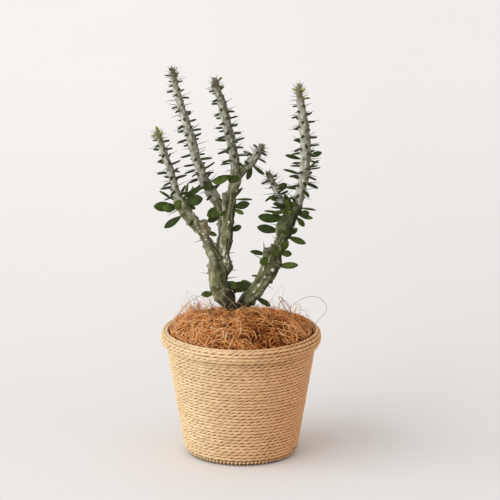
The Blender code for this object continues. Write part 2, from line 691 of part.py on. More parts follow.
def stem_hole(name, group):
    """A cutter for soil and fibre: the trunk's lower stems, GAP larger all round."""
    left = woody_arm(LEFT_ARM).points
    right = woody_arm(RIGHT_ARM).points
    left = left[left[:, 2] < HOLE_TOP]
    right = right[right[:, 2] < HOLE_TOP]
    left[0, 2] -= GAP
    body = tube(name, left, TRUNK_SIDES, None, group, extra=HOLE_FIT)
    parts = collection(name + "_parts")
    tube(name + "_right", right, TRUNK_SIDES, None, parts, extra=HOLE_FIT)
    fuse(body, parts)
    body.display_type = "WIRE"
    body.hide_render = True
    return body


# Soil and coconut fibre


def soil(finish, group, hole):
    floor = SHELL_FLOOR + 2 * GAP + POT_THICKNESS
    top = POT_TOP - GAP
    wall = POT_THICKNESS + GAP
    profile = [(0, top), (pot_radius(top) - wall, top), (pot_radius(floor) - wall, floor), (0, floor)]
    body = turned("soil", profile, POT_STEPS, finish, group)
    cut(body, hole)
    return body


def coir_height(radius):
    """Height of the mound's smooth form over the basket's middle line."""
    out = min(radius, COIR_REACH) / COIR_REACH
    return COIR_EDGE + (COIR_TOP - COIR_EDGE) * (1 - out**COIR_DOME)


def coir_mat(finish, group, hole, room):
    """A bumpy mound that fills the mouth of the basket, with curled fibres fused to it."""
    inset = CORD_DIAMETER + 2 * GAP + SHELL_THICKNESS
    foot = POT_TOP + GAP
    top = [(radius, coir_height(radius)) for radius in COIR_RINGS]
    side = [
        (89.0, 155.0), (88.0, 152.6), (shell_radius(SHELL_TOP, inset), 151.5),
        (shell_radius(foot, inset), foot),
    ]
    body = turned("coir_mat", top + side + [(0, foot)], BASKET_STEPS, finish, group)
    apply_modifiers(body)
    for vert in body.data.vertices:
        x, y, z = vert.co / MM
        if z > COIR_EDGE:
            fade = min(1.0, (COIR_REACH - math.hypot(x, y)) / COIR_CALM_EDGE)
            spot = Vector((x, y, 0)) / COIR_BUMP_SIZE
            vert.co.z += COIR_BUMP * fade * noise.noise(spot) * MM
    parts = collection("coir_parts")
    draw = random.Random(5)
    for index in range(COIR_FIBRES):
        angle = index * GOLDEN_ANGLE
        spread = FIBRE_SPREAD * math.sqrt((index + 0.5) / COIR_FIBRES)
        heading = draw.uniform(0, 2 * math.pi)
        bend = draw.uniform(-1.6, 1.6)
        reach = draw.uniform(22, 40)
        points = []
        for step in range(FIBRE_STEPS + 1):
            part = step / FIBRE_STEPS
            turn = heading + bend * part
            x = spread * math.cos(angle) + reach * (part - 0.5) * math.cos(turn)
            y = spread * math.sin(angle) + reach * (part - 0.5) * math.sin(turn)
            limit = FIBRE_LIMIT / max(FIBRE_LIMIT, math.hypot(x, y))
            x, y = x * limit, y * limit
            lift = -2.5 + (5.5 + 1.5 * draw.random()) * math.sin(math.pi * part)
            points.append((x, y, coir_height(math.hypot(x, y)) + lift, FIBRE_RADIUS))
        path = np.array(points)
        if room.is_free("coir_mat", path[:, :3], FIBRE_RADIUS):
            tube(f"coir_fibre_{index}", points, 0, None, parts)
    fuse(body, parts)
    cut(body, hole)
    return body


def main():
    clear_scene()
    parts = collection("Alluaudia in basket")
    cutters = collection("Cutters")
    cord = material("cord", (0.64, 0.45, 0.24), 0.8)
    shell = material("shell", (0.30, 0.22, 0.14), 0.6)
    plastic = material("nursery_plastic", (0.02, 0.02, 0.02), 0.45)
    earth = material("soil", (0.06, 0.04, 0.03), 0.95)
    fibre = material("coir", (0.50, 0.24, 0.09), 0.9)
    bark = material("bark", (0.23, 0.24, 0.14), 0.8)
    shoot_green = material("leafy_shoot", (0.25, 0.30, 0.14), 0.6)

    room = Room()
    shoots = {
        "shoot_far_left": (FAR_LEFT, LEFT_ARM), "shoot_tall_left": (TALL_LEFT, TALL_LEFT_ROOT),
        "shoot_middle": (MIDDLE, MIDDLE_ARM), "shoot_short_right": (SHORT_RIGHT, SHORT_RIGHT_ROOT),
        "shoot_tall_right": (TALL_RIGHT, RIGHT_ARM), "shoot_small_right": (SMALL_RIGHT, SMALL_RIGHT_ROOT),
    }
    for name, (points, _) in shoots.items():
        read = smooth_path(points, 3.0).points
        room.add(name, read[:, :3], read[:, 3])
    for points in (LEFT_ARM, MIDDLE_ARM, RIGHT_ARM, TALL_LEFT_ROOT, SHORT_RIGHT_ROOT, SMALL_RIGHT_ROOT):
        read = smooth_path(points, 3.0).points
        room.add("trunk", read[:-2, :3], read[:-2, 3])

    rope_wall(cord, parts)
    rope_rim(cord, parts)
    basket_shell(shell, parts)
    nursery_pot(plastic, parts, cutters)
    hole = stem_hole("stem_hole", cutters)
    soil(earth, parts, hole)
    trunk(bark, parts, room)
    for seed, (name, (points, carrier)) in enumerate(shoots.items(), start=1):
        shoot(name, points, carrier, seed, shoot_green, parts, room)
    coir_mat(fibre, parts, hole, room)


main()
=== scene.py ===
"""Alluaudia in a rope basket: the visual model, built round its packed CAD frame.

Laid out as a Blender add-on and run as a script. Everything is in metres in the CAD's frame, +Z up, with
the front facing -Y. The sizes below are in millimetres and are scaled where meshes are made.
"""

import math
from collections import namedtuple

import bpy
import numpy as np
from mathutils import Matrix, Vector


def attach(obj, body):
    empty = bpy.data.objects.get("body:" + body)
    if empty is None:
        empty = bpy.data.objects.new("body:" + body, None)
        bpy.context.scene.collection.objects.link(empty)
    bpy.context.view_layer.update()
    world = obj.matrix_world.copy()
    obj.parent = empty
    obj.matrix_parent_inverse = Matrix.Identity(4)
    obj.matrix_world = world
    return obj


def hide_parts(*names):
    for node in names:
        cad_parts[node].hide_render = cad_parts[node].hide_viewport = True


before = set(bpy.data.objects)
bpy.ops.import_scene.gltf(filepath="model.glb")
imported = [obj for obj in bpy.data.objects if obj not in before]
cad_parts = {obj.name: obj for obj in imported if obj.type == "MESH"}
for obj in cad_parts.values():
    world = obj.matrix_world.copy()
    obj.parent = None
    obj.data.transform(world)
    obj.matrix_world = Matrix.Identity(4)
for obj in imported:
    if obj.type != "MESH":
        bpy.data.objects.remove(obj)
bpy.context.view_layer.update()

bl_info = {
    "name": "Alluaudia in basket",
    "version": (1, 0, 0),
    "blender": (4, 5, 0),
    "location": "View3D > Sidebar > Potted plant",
    "description": "Builds a branched spiny succulent in a basket of twisted paper cord",
    "category": "Object",
}

MM = 0.001
TAU = 2 * math.pi
VIEW_CENTRE = (11.2, 0.0, 260.4)
GOLDEN_ANGLE = math.radians(137.5)
WINDOW = np.array((-0.85, -0.25, 0.45))

# Basket: the wall's outside face, its lower corner and the oval of the rim
WALL_LEAN = math.radians(9.5)
CORNER_RADIUS = 9.2
CORNER_CENTRE = (62.3, 9.6)
WALL_TOP = 138.7
CAD_CORD = 4.2
SHELL_THICKNESS = 2.0
SHELL_TOP = 152.0
RIM_CENTRE = (94.4, 149.0)
RIM_HALF_WIDTH = 5.8
RIM_HALF_HEIGHT = 10.0
RIM_FIRST = 155.0
RIM_LAST = -118.0
WALL_UNDER_RIM = 3.5
FOOT_TURNS = 1.9
FOOT_BEAT = 4.9

# Coconut fibre
POT_TOP = 137.0
COIR_TOP = 179.0
COIR_EDGE = 157.0
COIR_REACH = 90.0
COIR_DOME = 3.4

# Leaves and spines
LEAF_LENGTH = 17.0
LEAF_TAPER = 9.0
FIRST_AREOLE = 5.0
SPINE_ABOVE = 1.6
TIP_BUNCH = 4
ROOT_SINK = 1.2
ROOT_SINK_SHARE = 0.15

# Points along each stem: x, y, z and radius. The left arm starts in the soil and carries the other arms.
LEFT_ARM = (
    (-3, 2, 78, 9.5), (-4, 2, 110, 9.3), (-6, 1, 150, 9), (-8, 1, 173.5, 8.8), (-12.8, 0, 188.5, 9),
    (-18.5, 0, 197, 10.2), (-23.5, 0, 206, 12), (-27, 0, 217, 12.8), (-28, -1, 231.5, 12),
    (-31, -2, 247.5, 9.5), (-40, -5, 267.5, 7.2), (-49, -8, 286.5, 7), (-60, -11, 301.5, 7),
    (-70, -13, 313.5, 7.6), (-75, -14, 322.5, 8), (-77, -14.5, 330.5, 6),
)
MIDDLE_ARM = (
    (-24, 0, 219.5, 9), (-23, 2, 237.5, 9.5), (-21, 3, 259.5, 9), (-20, 4, 277.5, 8.7),
    (-19, 4.5, 292.5, 9.4), (-18, 5, 303.5, 9), (-13, 5.5, 322.5, 7.2), (-10, 6, 338.5, 7),
    (-7, 6, 349.5, 7.6), (-6.5, 5.5, 358.5, 6.4), (-7, 4, 368.5, 5.7),
)
RIGHT_ARM = (
    (-6, 3, 160.5, 8), (-3, 13, 170.5, 8), (1, 17, 181.5, 8.2), (8, 17, 193.5, 8.2),
    (16, 16, 203.5, 7.8), (25, 14, 215.5, 8), (33, 12, 230.5, 10), (38, 11, 243.5, 11.5),
    (41, 10, 253.5, 9), (47, 9, 265.5, 7.4), (52, 9, 277.5, 7.8), (56, 8, 289.5, 9), (61, 8, 301.5, 10),
    (67, 8, 310.5, 8), (70, 7.5, 318.5, 6),
)
TALL_LEFT_ROOT = ((-20, 5, 306.5, 6), (-26, 6, 314.5, 6.5), (-33, 7, 326.5, 7))
SHORT_RIGHT_ROOT = ((-9, 6, 344.5, 5), (-4, 7, 351.5, 5.4), (2, 8, 359, 5.3), (8, 9.5, 365, 5.1))
SMALL_RIGHT_ROOT = ((61, 9, 301.5, 5), (55, 12, 309.5, 5), (50.5, 15, 317.5, 4.6))

FAR_LEFT = (
    (-77, -14.5, 330.5, 6), (-80, -15.5, 340.5, 4.4), (-84, -17, 356.5, 4.3), (-88, -18.5, 370.5, 4.5),
    (-93, -20, 385.5, 4.5), (-97.5, -21.5, 399.5, 4), (-100.5, -22.5, 409.5, 3.3),
    (-103, -24, 421.5, 2),
)
TALL_LEFT = (
    (-33, 7, 326.5, 7), (-41, 8.5, 339.5, 6.8), (-48, 10, 352, 6.4), (-51.5, 11.5, 363, 6.1),
    (-55.5, 13, 375.5, 5.8), (-59, 14.5, 387.5, 5.8), (-62, 16, 400.5, 5.7), (-66, 17.5, 412.5, 5.4),
    (-70, 19, 425.5, 5), (-74, 20.5, 439, 4.5), (-77.5, 22, 451.5, 4.5), (-80.5, 23, 462.5, 4.1),
    (-83, 24, 474.5, 3.8), (-85, 25, 488.5, 2.2),
)
MIDDLE = (
    (-7, 4, 368.5, 5.7), (-9, 2, 381.5, 5.8), (-11, 0, 393.5, 5.9), (-14, -3, 407.5, 6.2),
    (-17.5, -5, 422.5, 6.2), (-21, -7, 438.5, 5.6), (-24, -9, 452.5, 5.2), (-28, -11, 464.5, 4.6),
    (-31, -12, 475.5, 4), (-33, -13, 484.5, 2.3),
)
SHORT_RIGHT = (
    (8, 9.5, 365, 5.1), (13.5, 11, 371.5, 5.3), (19, 12, 379, 5.2),
    (23.5, 13, 386, 4.3), (27.5, 14, 393.5, 2.4),
)
TALL_RIGHT = (
    (70, 7.5, 318.5, 6), (73.5, 5, 332.5, 5.9), (76.5, 2, 346.5, 6.4), (78.5, -1, 359.5, 6.4),
    (79.5, -3, 374.5, 6.3), (79.5, -5, 389.5, 6.5), (79.5, -7, 404.5, 6.3), (78, -9, 418.5, 6.2),
    (76.5, -10.5, 431.5, 5.9), (74.5, -12, 444.5, 5.1), (72.5, -13, 456.5, 4.5),
    (71.5, -14, 467.5, 3.8), (71.5, -14.5, 476.5, 2.3),
)
SMALL_RIGHT = (
    (50.5, 15, 317.5, 4.6), (47, 17, 324.5, 4.2), (44, 19, 331.5, 4), (41, 21, 338, 3.9),
    (38, 22.5, 343.5, 3.8), (35, 24, 349.5, 3.5), (33, 25, 355.5, 2.2),
)

# How fresh and yellow-green each shoot's tip is, how fast its tuft opens in degrees to a mm, and how
# bleached its skin is
Growth = namedtuple("Growth", "fresh opening pale")
GROWTH = {
    "shoot_far_left": Growth(1.0, 5.5, 1.0), "shoot_tall_left": Growth(0.1, 4.5, 1.1),
    "shoot_middle": Growth(0.25, 4.5, 0.0), "shoot_short_right": Growth(0.2, 4.5, 0.9),
    "shoot_tall_right": Growth(0.85, 2.5, 1.1), "shoot_small_right": Growth(0.1, 4.5, 0.1),
}

# Cut stumps on the trunk: first point, last point and radius
STUMPS = (
    ((-19, 1, 313.5), (-20.5, -7, 335.5), 3.7),
    ((-42, -6, 271.5), (-46.5, -14, 302.5), 5.6),
    ((33, 8, 241.5), (32.5, 2, 262), 4.6),
    ((39, 8, 247.5), (40, 2, 268), 3.8),
    ((-8, 6, 189.5), (-9, 9, 205.5), 1.9),
)

# Local forms of the trunk: a point on it, how far the form reaches and how much it stands out, all in mm
TRUNK_FORMS = (
    ((-14, -1, 224), 7.5, -5.0), ((-40.5, -1, 223), 4.0, 1.8), ((-13, -1, 238), 5.0, 2.0),
    ((21, 8, 199), 9.0, 5.5), ((27, 4, 211), 6.0, 1.5), ((-16, -6, 208), 6.0, 1.2),
    ((48, 9, 253), 8.0, 3.4), ((47, 9, 241), 8.0, 3.4), ((43, 10, 230), 8.0, 3.2), ((37, 11, 219), 8.0, 3.4),
    ((41, 8, 266), 5.5, -3.6), ((54, 8, 290), 7.0, 2.0),
)

# Pale woolly scars: column and row in the photograph, depth of the bark there, and reach in mm
SCARS = (
    (225, 251, -5.7, 2.4), (223.5, 254, -6, 2.2), (227, 256.5, -4.5, 2.6), (229.5, 260.5, -4.4, 2.6),
    (225.5, 260.5, -5.5, 2.8), (221.5, 246.5, -4.9, 1.6), (216, 244.3, -4.6, 1.5), (218.5, 244.3, -4.4, 1.5),
    (221, 244.3, -4.5, 1.5), (206, 240, -12.4, 1.6), (203, 234, -15, 1.8), (262, 269, 5.4, 2.8),
    (258.5, 285, 5.6, 2.4), (268, 262, -0.6, 2.0), (273, 270, 2.4, 2.5), (265, 277, 4, 1.8),
    (229, 222, -6.5, 1.6), (222, 200, -6, 1.8), (254, 292, 4, 2.0),
)

# The photograph: millimetres to a pixel, the column of the basket's middle line, the row of its foot's
# middle, and how far the view looks down. It is so far off that the view has no perspective to speak of.
PHOTO_SCALE = 1.242
PHOTO_AXIS = 241.0
PHOTO_FOOT = 452.0
PHOTO_TILT = math.radians(15.5)

# Leaves placed by the photograph: node or arm, root and tip in its pixels, how far the tip lies in front
# of the stem in mm, width in mm, and roll. Roll 0 lays the blade flat, and 90 turns its face to the front.
SEEN_LEAVES = (
    ("left", (174, 208), (154, 206.5), 2, 12.5, 80), ("left", (174, 209), (163.5, 208), 9, 12, 80),
    ("left", (180, 218), (164.5, 228), 2, 9, 76), ("left", (174, 202), (160, 191), 0, 4.5, 25),
    ("left", (185, 206), (174.5, 204), 14, 12, 84), ("left", (186, 198), (202, 187), 2, 8, 60),
    ("left", (187, 201), (203, 199), 6, 14, 84), ("left", (187, 203), (196, 209), 1, 7, 50),
    ("left", (187, 202), (189, 183), 9, 5, 10), ("left", (188, 204), (193, 186), 2, 5, 10),
    ("left", (194, 219), (190, 226), 12, 5, 60), ("left", (206, 226), (211, 229), 0, 4, 30),
    ("left", (208, 230), (217, 235.5), 1, 6, 60), ("left", (212, 295), (201, 294.5), 1, 8, 80),
    ("left", (226, 281), (238, 288), 2, 10, 80), ("left", (187, 210), (190, 204), -12, 8, 40),
    ("left", (183, 207), (186, 203), -15, 8, 30), ("left", (197, 228), (192, 224), -15, 8, 30),
    ("left", (212, 250), (208, 246), -16, 9, 30), ("left", (214, 275), (208, 272), -18, 9, 30),
    ("middle", (222, 207), (207, 216), 5, 14, 80), ("middle", (220, 214), (207.5, 221.5), 2, 9, 70),
    ("middle", (226, 210.5), (220.5, 216), 13, 5.5, 80), ("middle", (238, 178), (228, 181), 13, 9.5, 84),
    ("middle", (242, 177), (231, 181.5), 16, 9, 84), ("middle", (238, 200), (252.5, 200), 1, 5, 12),
    ("middle", (238, 198), (242.5, 187.5), 1, 4.5, 30), ("middle", (236, 208), (249.5, 203.5), 3, 10, 78),
    ("middle", (236, 210), (244, 214), 2, 6, 60), ("middle", (232, 231), (241.5, 226), 2, 8, 74),
    ("middle", (231.5, 175.5), (213, 183), 12, 10.5, 74),
    ("middle", (233, 190), (230, 186), -15, 8, 30), ("middle", (229, 215), (234, 211), -16, 8, 30),
    ("middle", (225, 240), (230, 236), -16, 8, 30),
    ("right", (280, 219), (258, 216.5), 3, 11.5, 80), ("right", (278, 230.5), (257, 227), 2, 11, 80),
    ("right", (281, 217), (270, 217), -3, 9, 60), ("right", (283, 208), (272, 213.5), 5, 6, 50),
    ("right", (280, 210.5), (264, 210.7), 0, 5, 12), ("right", (288, 206), (284.5, 194), 14, 6.5, 80),
    ("right", (289, 213.5), (286.5, 199.5), 16, 7, 84), ("right", (298, 206.5), (291.5, 202.5), 13, 6, 80),
    ("right", (296, 202), (291, 197), 12, 3.5, 60), ("right", (292, 209), (288.5, 198), 13, 4.5, 70),
    ("right", (290, 210), (275, 213), 14, 5, 60),
    ("right", (288, 207), (273.5, 204), 12, 5.5, 60), ("right", (285, 208.5), (271, 207), 12, 3, 40),
    ("right", (294, 213), (287, 211), 15, 5, 60),
    ("right", (301, 209), (316, 209.5), 0, 5, 12), ("right", (300, 215), (309.5, 213), 4, 8, 74),
    ("right", (301, 217.5), (313, 218.5), 1, 6, 70), ("right", (298, 218), (304.5, 226.5), 3, 7, 70),
    ("right", (281, 225), (288.5, 235), 14, 10, 84), ("right", (290, 235), (297.5, 228.5), 3, 8, 76),
    ("right", (291, 238), (306, 243.5), 2, 8, 76), ("right", (281.5, 251.5), (288, 241), 15, 8.5, 84),
    ("right", (281, 251.5), (270.5, 253.5), 17, 10, 84), ("right", (282, 254.5), (292, 254), 2, 8.5, 76),
    ("right", (268.5, 257), (260, 264), 15, 9.5, 84), ("right", (265, 254), (250, 251.5), 1, 7, 45),
    ("right", (282, 268), (298.5, 265), 1, 8.5, 80), ("right", (260, 276), (251.5, 276), 0, 4, 10),
    ("right", (252, 284.5), (230, 287.5), 7, 14, 84), ("right", (251, 283), (241, 281), -2, 6, 60),
    ("right", (254, 298), (254, 306), 9, 8.5, 60), ("right", (259, 301), (271, 306.5), 2, 7, 70),
    ("right", (285, 220), (281, 216), -15, 8, 30), ("right", (283, 240), (288, 236), -16, 8, 30),
    ("right", (268, 270), (272, 265), -17, 9, 30),
    ("shoot_tall_left", (209, 181.5), (206.5, 191), 12, 12, 86),
    ("shoot_tall_right", (300, 160), (285, 155.5), 2, 6, 45),
    ("shoot_tall_right", (299, 174), (283, 169.5), 2, 5, 20),
    ("shoot_tall_right", (311, 157), (321.5, 153), 2, 7, 70),
    ("shoot_tall_right", (309, 169), (318, 160), 3, 3.5, 30),
    ("shoot_tall_right", (309, 168), (317.5, 166), 2, 3, 20),
    ("shoot_short_right", (253, 167), (247.5, 180), 8, 9, 76),
    ("shoot_short_right", (254, 167), (264.5, 175), 4, 5, 60),
    ("shoot_small_right", (276.5, 190), (287, 184), 1, 9, 78),
    ("shoot_small_right", (278, 202), (269, 196.5), 3, 6, 60),
    ("shoot_small_right", (280, 205), (273, 203.5), 4, 5, 60),
)

# The ends of stems: node, points, and the points that carry it
SHOOTS = {
    "shoot_far_left": (FAR_LEFT, LEFT_ARM), "shoot_tall_left": (TALL_LEFT, TALL_LEFT_ROOT),
    "shoot_middle": (MIDDLE, MIDDLE_ARM), "shoot_short_right": (SHORT_RIGHT, SHORT_RIGHT_ROOT),
    "shoot_tall_right": (TALL_RIGHT, RIGHT_ARM), "shoot_small_right": (SMALL_RIGHT, SMALL_RIGHT_ROOT),
}

Stem = namedtuple("Stem", "points arc")
Solid = namedtuple("Solid", "points quads triangles")
Layer = namedtuple("Layer", "count thick tone lift arch reach bend")

# Layers of loose coconut fibre: number, then ranges in mm but for the tone, and the bend in radians.
# The deeper layers carry darker tones, partly as painted shade under the raised fibres.
FIBRE_LAYERS = {
    "coir_deep": Layer(1800, (0.42, 0.7), (-2.2, -0.7), (-0.9, 0.2), 0.4, (10, 26), 1.8),
    "coir_middle": Layer(1500, (0.34, 0.54), (-1.3, 0.9), (0.0, 1.0), 0.7, (14, 34), 2.0),
    "coir_top": Layer(1250, (0.28, 0.46), (-0.3, 2.3), (1.0, 2.6), 1.5, (15, 42), 2.2),
}


# Numbers that look random but are the same each run


def hashed(cells, seed):
    """A number from -1 to 1 for each whole-number cell (..., 3), mixed from its three numbers."""
    x, y, z = (cells[..., axis].astype(np.int64) & 0xFFFFF for axis in range(3))
    mixed = (x * 73856093) ^ (y * 19349663) ^ (z * 83492791) ^ (seed * 2654435761)
    mixed = ((mixed ^ (mixed >> 15)) & 0xFFFFFF) * 2246822519
    mixed = ((mixed ^ (mixed >> 13)) & 0xFFFFFF) * 3266489917
    return ((mixed >> 8) & 0xFFFF) / 32767.5 - 1


def drift(points, size, seed):
    """Smooth noise from -1 to 1 at points (..., 3).

    Random numbers on a cubic lattice with cells of the size, blended between a cell's eight corners with
    the weights 3t^2 - 2t^3.
    """
    cells = np.asarray(points, float) / size + 4096
    base = np.floor(cells).astype(np.int64)
    part = cells - base
    part = part * part * (3 - 2 * part)
    total = 0.0
    for corner in np.ndindex(2, 2, 2):
        weight = np.prod(np.where(corner, part, 1 - part), axis=-1)
        total = total + weight * hashed(base + np.array(corner), seed)
    return total


def drift_along(lengths, size, seed):
    """The same noise read along a line."""
    lengths = np.asarray(lengths, float)
    return drift(np.stack([lengths, 0 * lengths, 0 * lengths + 7.3 * size], -1), size, seed)


def unit(vectors):
    return vectors / np.linalg.norm(vectors, axis=-1, keepdims=True)


# Meshes from arrays


def closed_tubes(rings, first=None, last=None):
    """Tubes closed by a fan at each end, from rings (tubes, rings, columns, 3).

    The fans meet at the points `first` and `last`, which are the middles of the end rings unless given.
    """
    tubes, count, columns, _ = rings.shape
    first = rings[:, 0].mean(1) if first is None else first
    last = rings[:, -1].mean(1) if last is None else last
    points = np.concatenate([rings.reshape(tubes, -1, 3), first[:, None], last[:, None]], 1)
    index = np.arange(count * columns).reshape(count, columns)
    here, ahead = index[:-1], index[1:]
    quads = np.stack([here, np.roll(here, -1, 1), np.roll(ahead, -1, 1), ahead], -1).reshape(-1, 4)
    poles = np.full(columns, count * columns)
    start = np.stack([poles, np.roll(index[0], -1), index[0]], -1)
    end = np.stack([poles + 1, index[-1], np.roll(index[-1], -1)], -1)
    triangles = np.concatenate([start, end])
    offset = np.arange(tubes)[:, None, None] * points.shape[1]
    return Solid(
        points.reshape(-1, 3), (quads + offset).reshape(-1, 4), (triangles + offset).reshape(-1, 3)
    )


def spread(values, rings):
    """One value for each vertex of closed_tubes, from values (tubes, rings, columns)."""
    tubes, count, columns, _ = rings.shape
    values = np.broadcast_to(values, (tubes, count, columns))
    ends = [values[:, 0].mean(1)[:, None], values[:, -1].mean(1)[:, None]]
    return np.concatenate([values.reshape(tubes, -1), *ends], 1).ravel()


def joined(solids):
    """Several solids as one."""
    offsets = np.cumsum([0] + [len(solid.points) for solid in solids[:-1]])
    return Solid(
        np.concatenate([solid.points for solid in solids]),
        np.concatenate([solid.quads + offset for solid, offset in zip(solids, offsets)]),
        np.concatenate([solid.triangles + offset for solid, offset in zip(solids, offsets)]),
    )


def turned_out(solid):
    """The solid with its faces turned outwards, which is so when its signed volume is above zero."""
    points = solid.points - solid.points.mean(0)
    corners = np.concatenate([solid.quads[:, :3], solid.quads[:, [0, 2, 3]], solid.triangles])
    a, b, c = (points[corners[:, k]] for k in range(3))
    volume = np.einsum("ij,ij->", a, np.cross(b, c))
    if volume < 0:
        return Solid(solid.points, solid.quads[:, ::-1], solid.triangles[:, ::-1])
    return solid


def mesh_of(name, solid, attributes):
    """A Blender mesh of the solid, with its attributes: a number or a vector for each vertex."""
    solid = turned_out(solid)
    mesh = bpy.data.meshes.new(name)
    mesh.vertices.add(len(solid.points))
    mesh.vertices.foreach_set("co", (solid.points * MM).astype(np.float32).ravel())
    corners = np.concatenate([solid.quads.ravel(), solid.triangles.ravel()]).astype(np.int32)
    mesh.loops.add(len(corners))
    mesh.loops.foreach_set("vertex_index", corners)
    four = np.arange(len(solid.quads)) * 4
    three = len(solid.quads) * 4 + np.arange(len(solid.triangles)) * 3
    starts = np.concatenate([four, three]).astype(np.int32)
    mesh.polygons.add(len(starts))
    mesh.polygons.foreach_set("loop_start", starts)
    mesh.update(calc_edges=True)
    for key, values in attributes.items():
        if np.ndim(values) == 1:
            write_numbers(mesh, key, values)
        else:
            mesh.attributes.new(key, "FLOAT_VECTOR", "POINT").data.foreach_set(
                "vector", np.asarray(values, np.float32).ravel()
            )
    mesh.shade_smooth()
    return mesh


def write_numbers(mesh, key, values):
    mesh.attributes.new(key, "FLOAT", "POINT").data.foreach_set("value", np.asarray(values, np.float32))


def mark_sunny(mesh):
    """Writes on each vertex how far it faces the light of its window, up and to the left: 0 to 1."""
    facing = points_of(mesh)[1] @ WINDOW
    write_numbers(mesh, "sunny", np.clip((facing + 0.35) / 1.2, 0, 1))


def placed(name, mesh, finish, nodes):
    """A finished piece that rides on the body and stands for the named CAD nodes."""
    obj = bpy.data.objects.new(name, mesh)
    bpy.context.scene.collection.objects.link(obj)
    mesh.materials.clear()
    mesh.materials.append(finish)
    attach(obj, "root")
    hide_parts(*nodes)
    return obj


def evaluated_mesh(obj):
    graph = bpy.context.evaluated_depsgraph_get()
    return bpy.data.meshes.new_from_object(obj.evaluated_get(graph))


def points_of(mesh):
    """A mesh's vertices and their normals, in mm."""
    count = len(mesh.vertices)
    points = np.empty(count * 3, np.float32)
    normals = np.empty(count * 3, np.float32)
    mesh.vertices.foreach_get("co", points)
    mesh.vertex_normals.foreach_get("vector", normals)
    return points.reshape(-1, 3).astype(float) / MM, normals.reshape(-1, 3).astype(float)


def frames_along(paths):
    """Two directions square to each path (paths, points, 3), carried along it without twist."""
    ahead = unit(np.gradient(paths, axis=1))
    side = np.cross(ahead[:, 0], np.array([0.31, 0.52, 0.79]))
    sides = []
    for step in range(paths.shape[1]):
        along = ahead[:, step]
        side = unit(side - np.einsum("ij,ij->i", side, along)[:, None] * along)
        sides.append(side)
    sides = np.stack(sides, 1)
    return sides, np.cross(ahead, sides)


def tube_rings(paths, radii, columns):
    """Round rings of the radii (paths, points) along the paths (paths, points, 3)."""
    side, up = frames_along(paths)
    angles = np.arange(columns) * TAU / columns
    wheel = np.cos(angles)[:, None] * side[:, :, None] + np.sin(angles)[:, None] * up[:, :, None]
    return paths[:, :, None] + wheel * np.asarray(radii)[:, :, None, None]


# Basket


def wall_path(inset, top=WALL_TOP):
    """Points down the wall and round its lower corner, `inset` mm inside the face of the cord."""
    radius = CORNER_RADIUS - inset
    across, up = CORNER_CENTRE
    angles = np.linspace(-WALL_LEAN, -math.pi / 2, 24)
    corner = np.stack([across + radius * np.cos(angles), up + radius * np.sin(angles)], -1)
    top_radius = corner[0, 0] + (top - corner[0, 1]) * math.tan(WALL_LEAN)
    return np.vstack([(top_radius, top), corner])


def path_length(path):
    return float(np.hypot(*np.diff(path, axis=0).T).sum())


def rim_path(inset, first=RIM_FIRST, last=RIM_LAST):
    """Points over the oval of the rim from its inner side, `inset` mm inside the face of the cord."""
    angles = np.radians(np.linspace(first, last, 90))
    across, up = RIM_CENTRE
    return np.stack([
        across + (RIM_HALF_WIDTH - inset) * np.cos(angles),
        up + (RIM_HALF_HEIGHT - inset) * np.sin(angles),
    ], -1)


def shell_radius(height, inset):
    """Radius of the wall at a height, `inset` mm inside the face of the cord."""
    top_radius, top = wall_path(inset)[0]
    return top_radius + (height - top) * math.tan(WALL_LEAN)


def turned(profile, steps):
    """A closed profile of (radius, height) points turned round +Z; points on the axis become poles."""
    profile = np.asarray(profile, float)
    angles = np.arange(steps) * TAU / steps
    wheel = np.stack([np.cos(angles), np.sin(angles), 0 * angles], -1)
    rings = profile[:, None, :1] * wheel[None] + profile[:, 1, None, None] * np.array([0, 0, 1.0])
    return rings


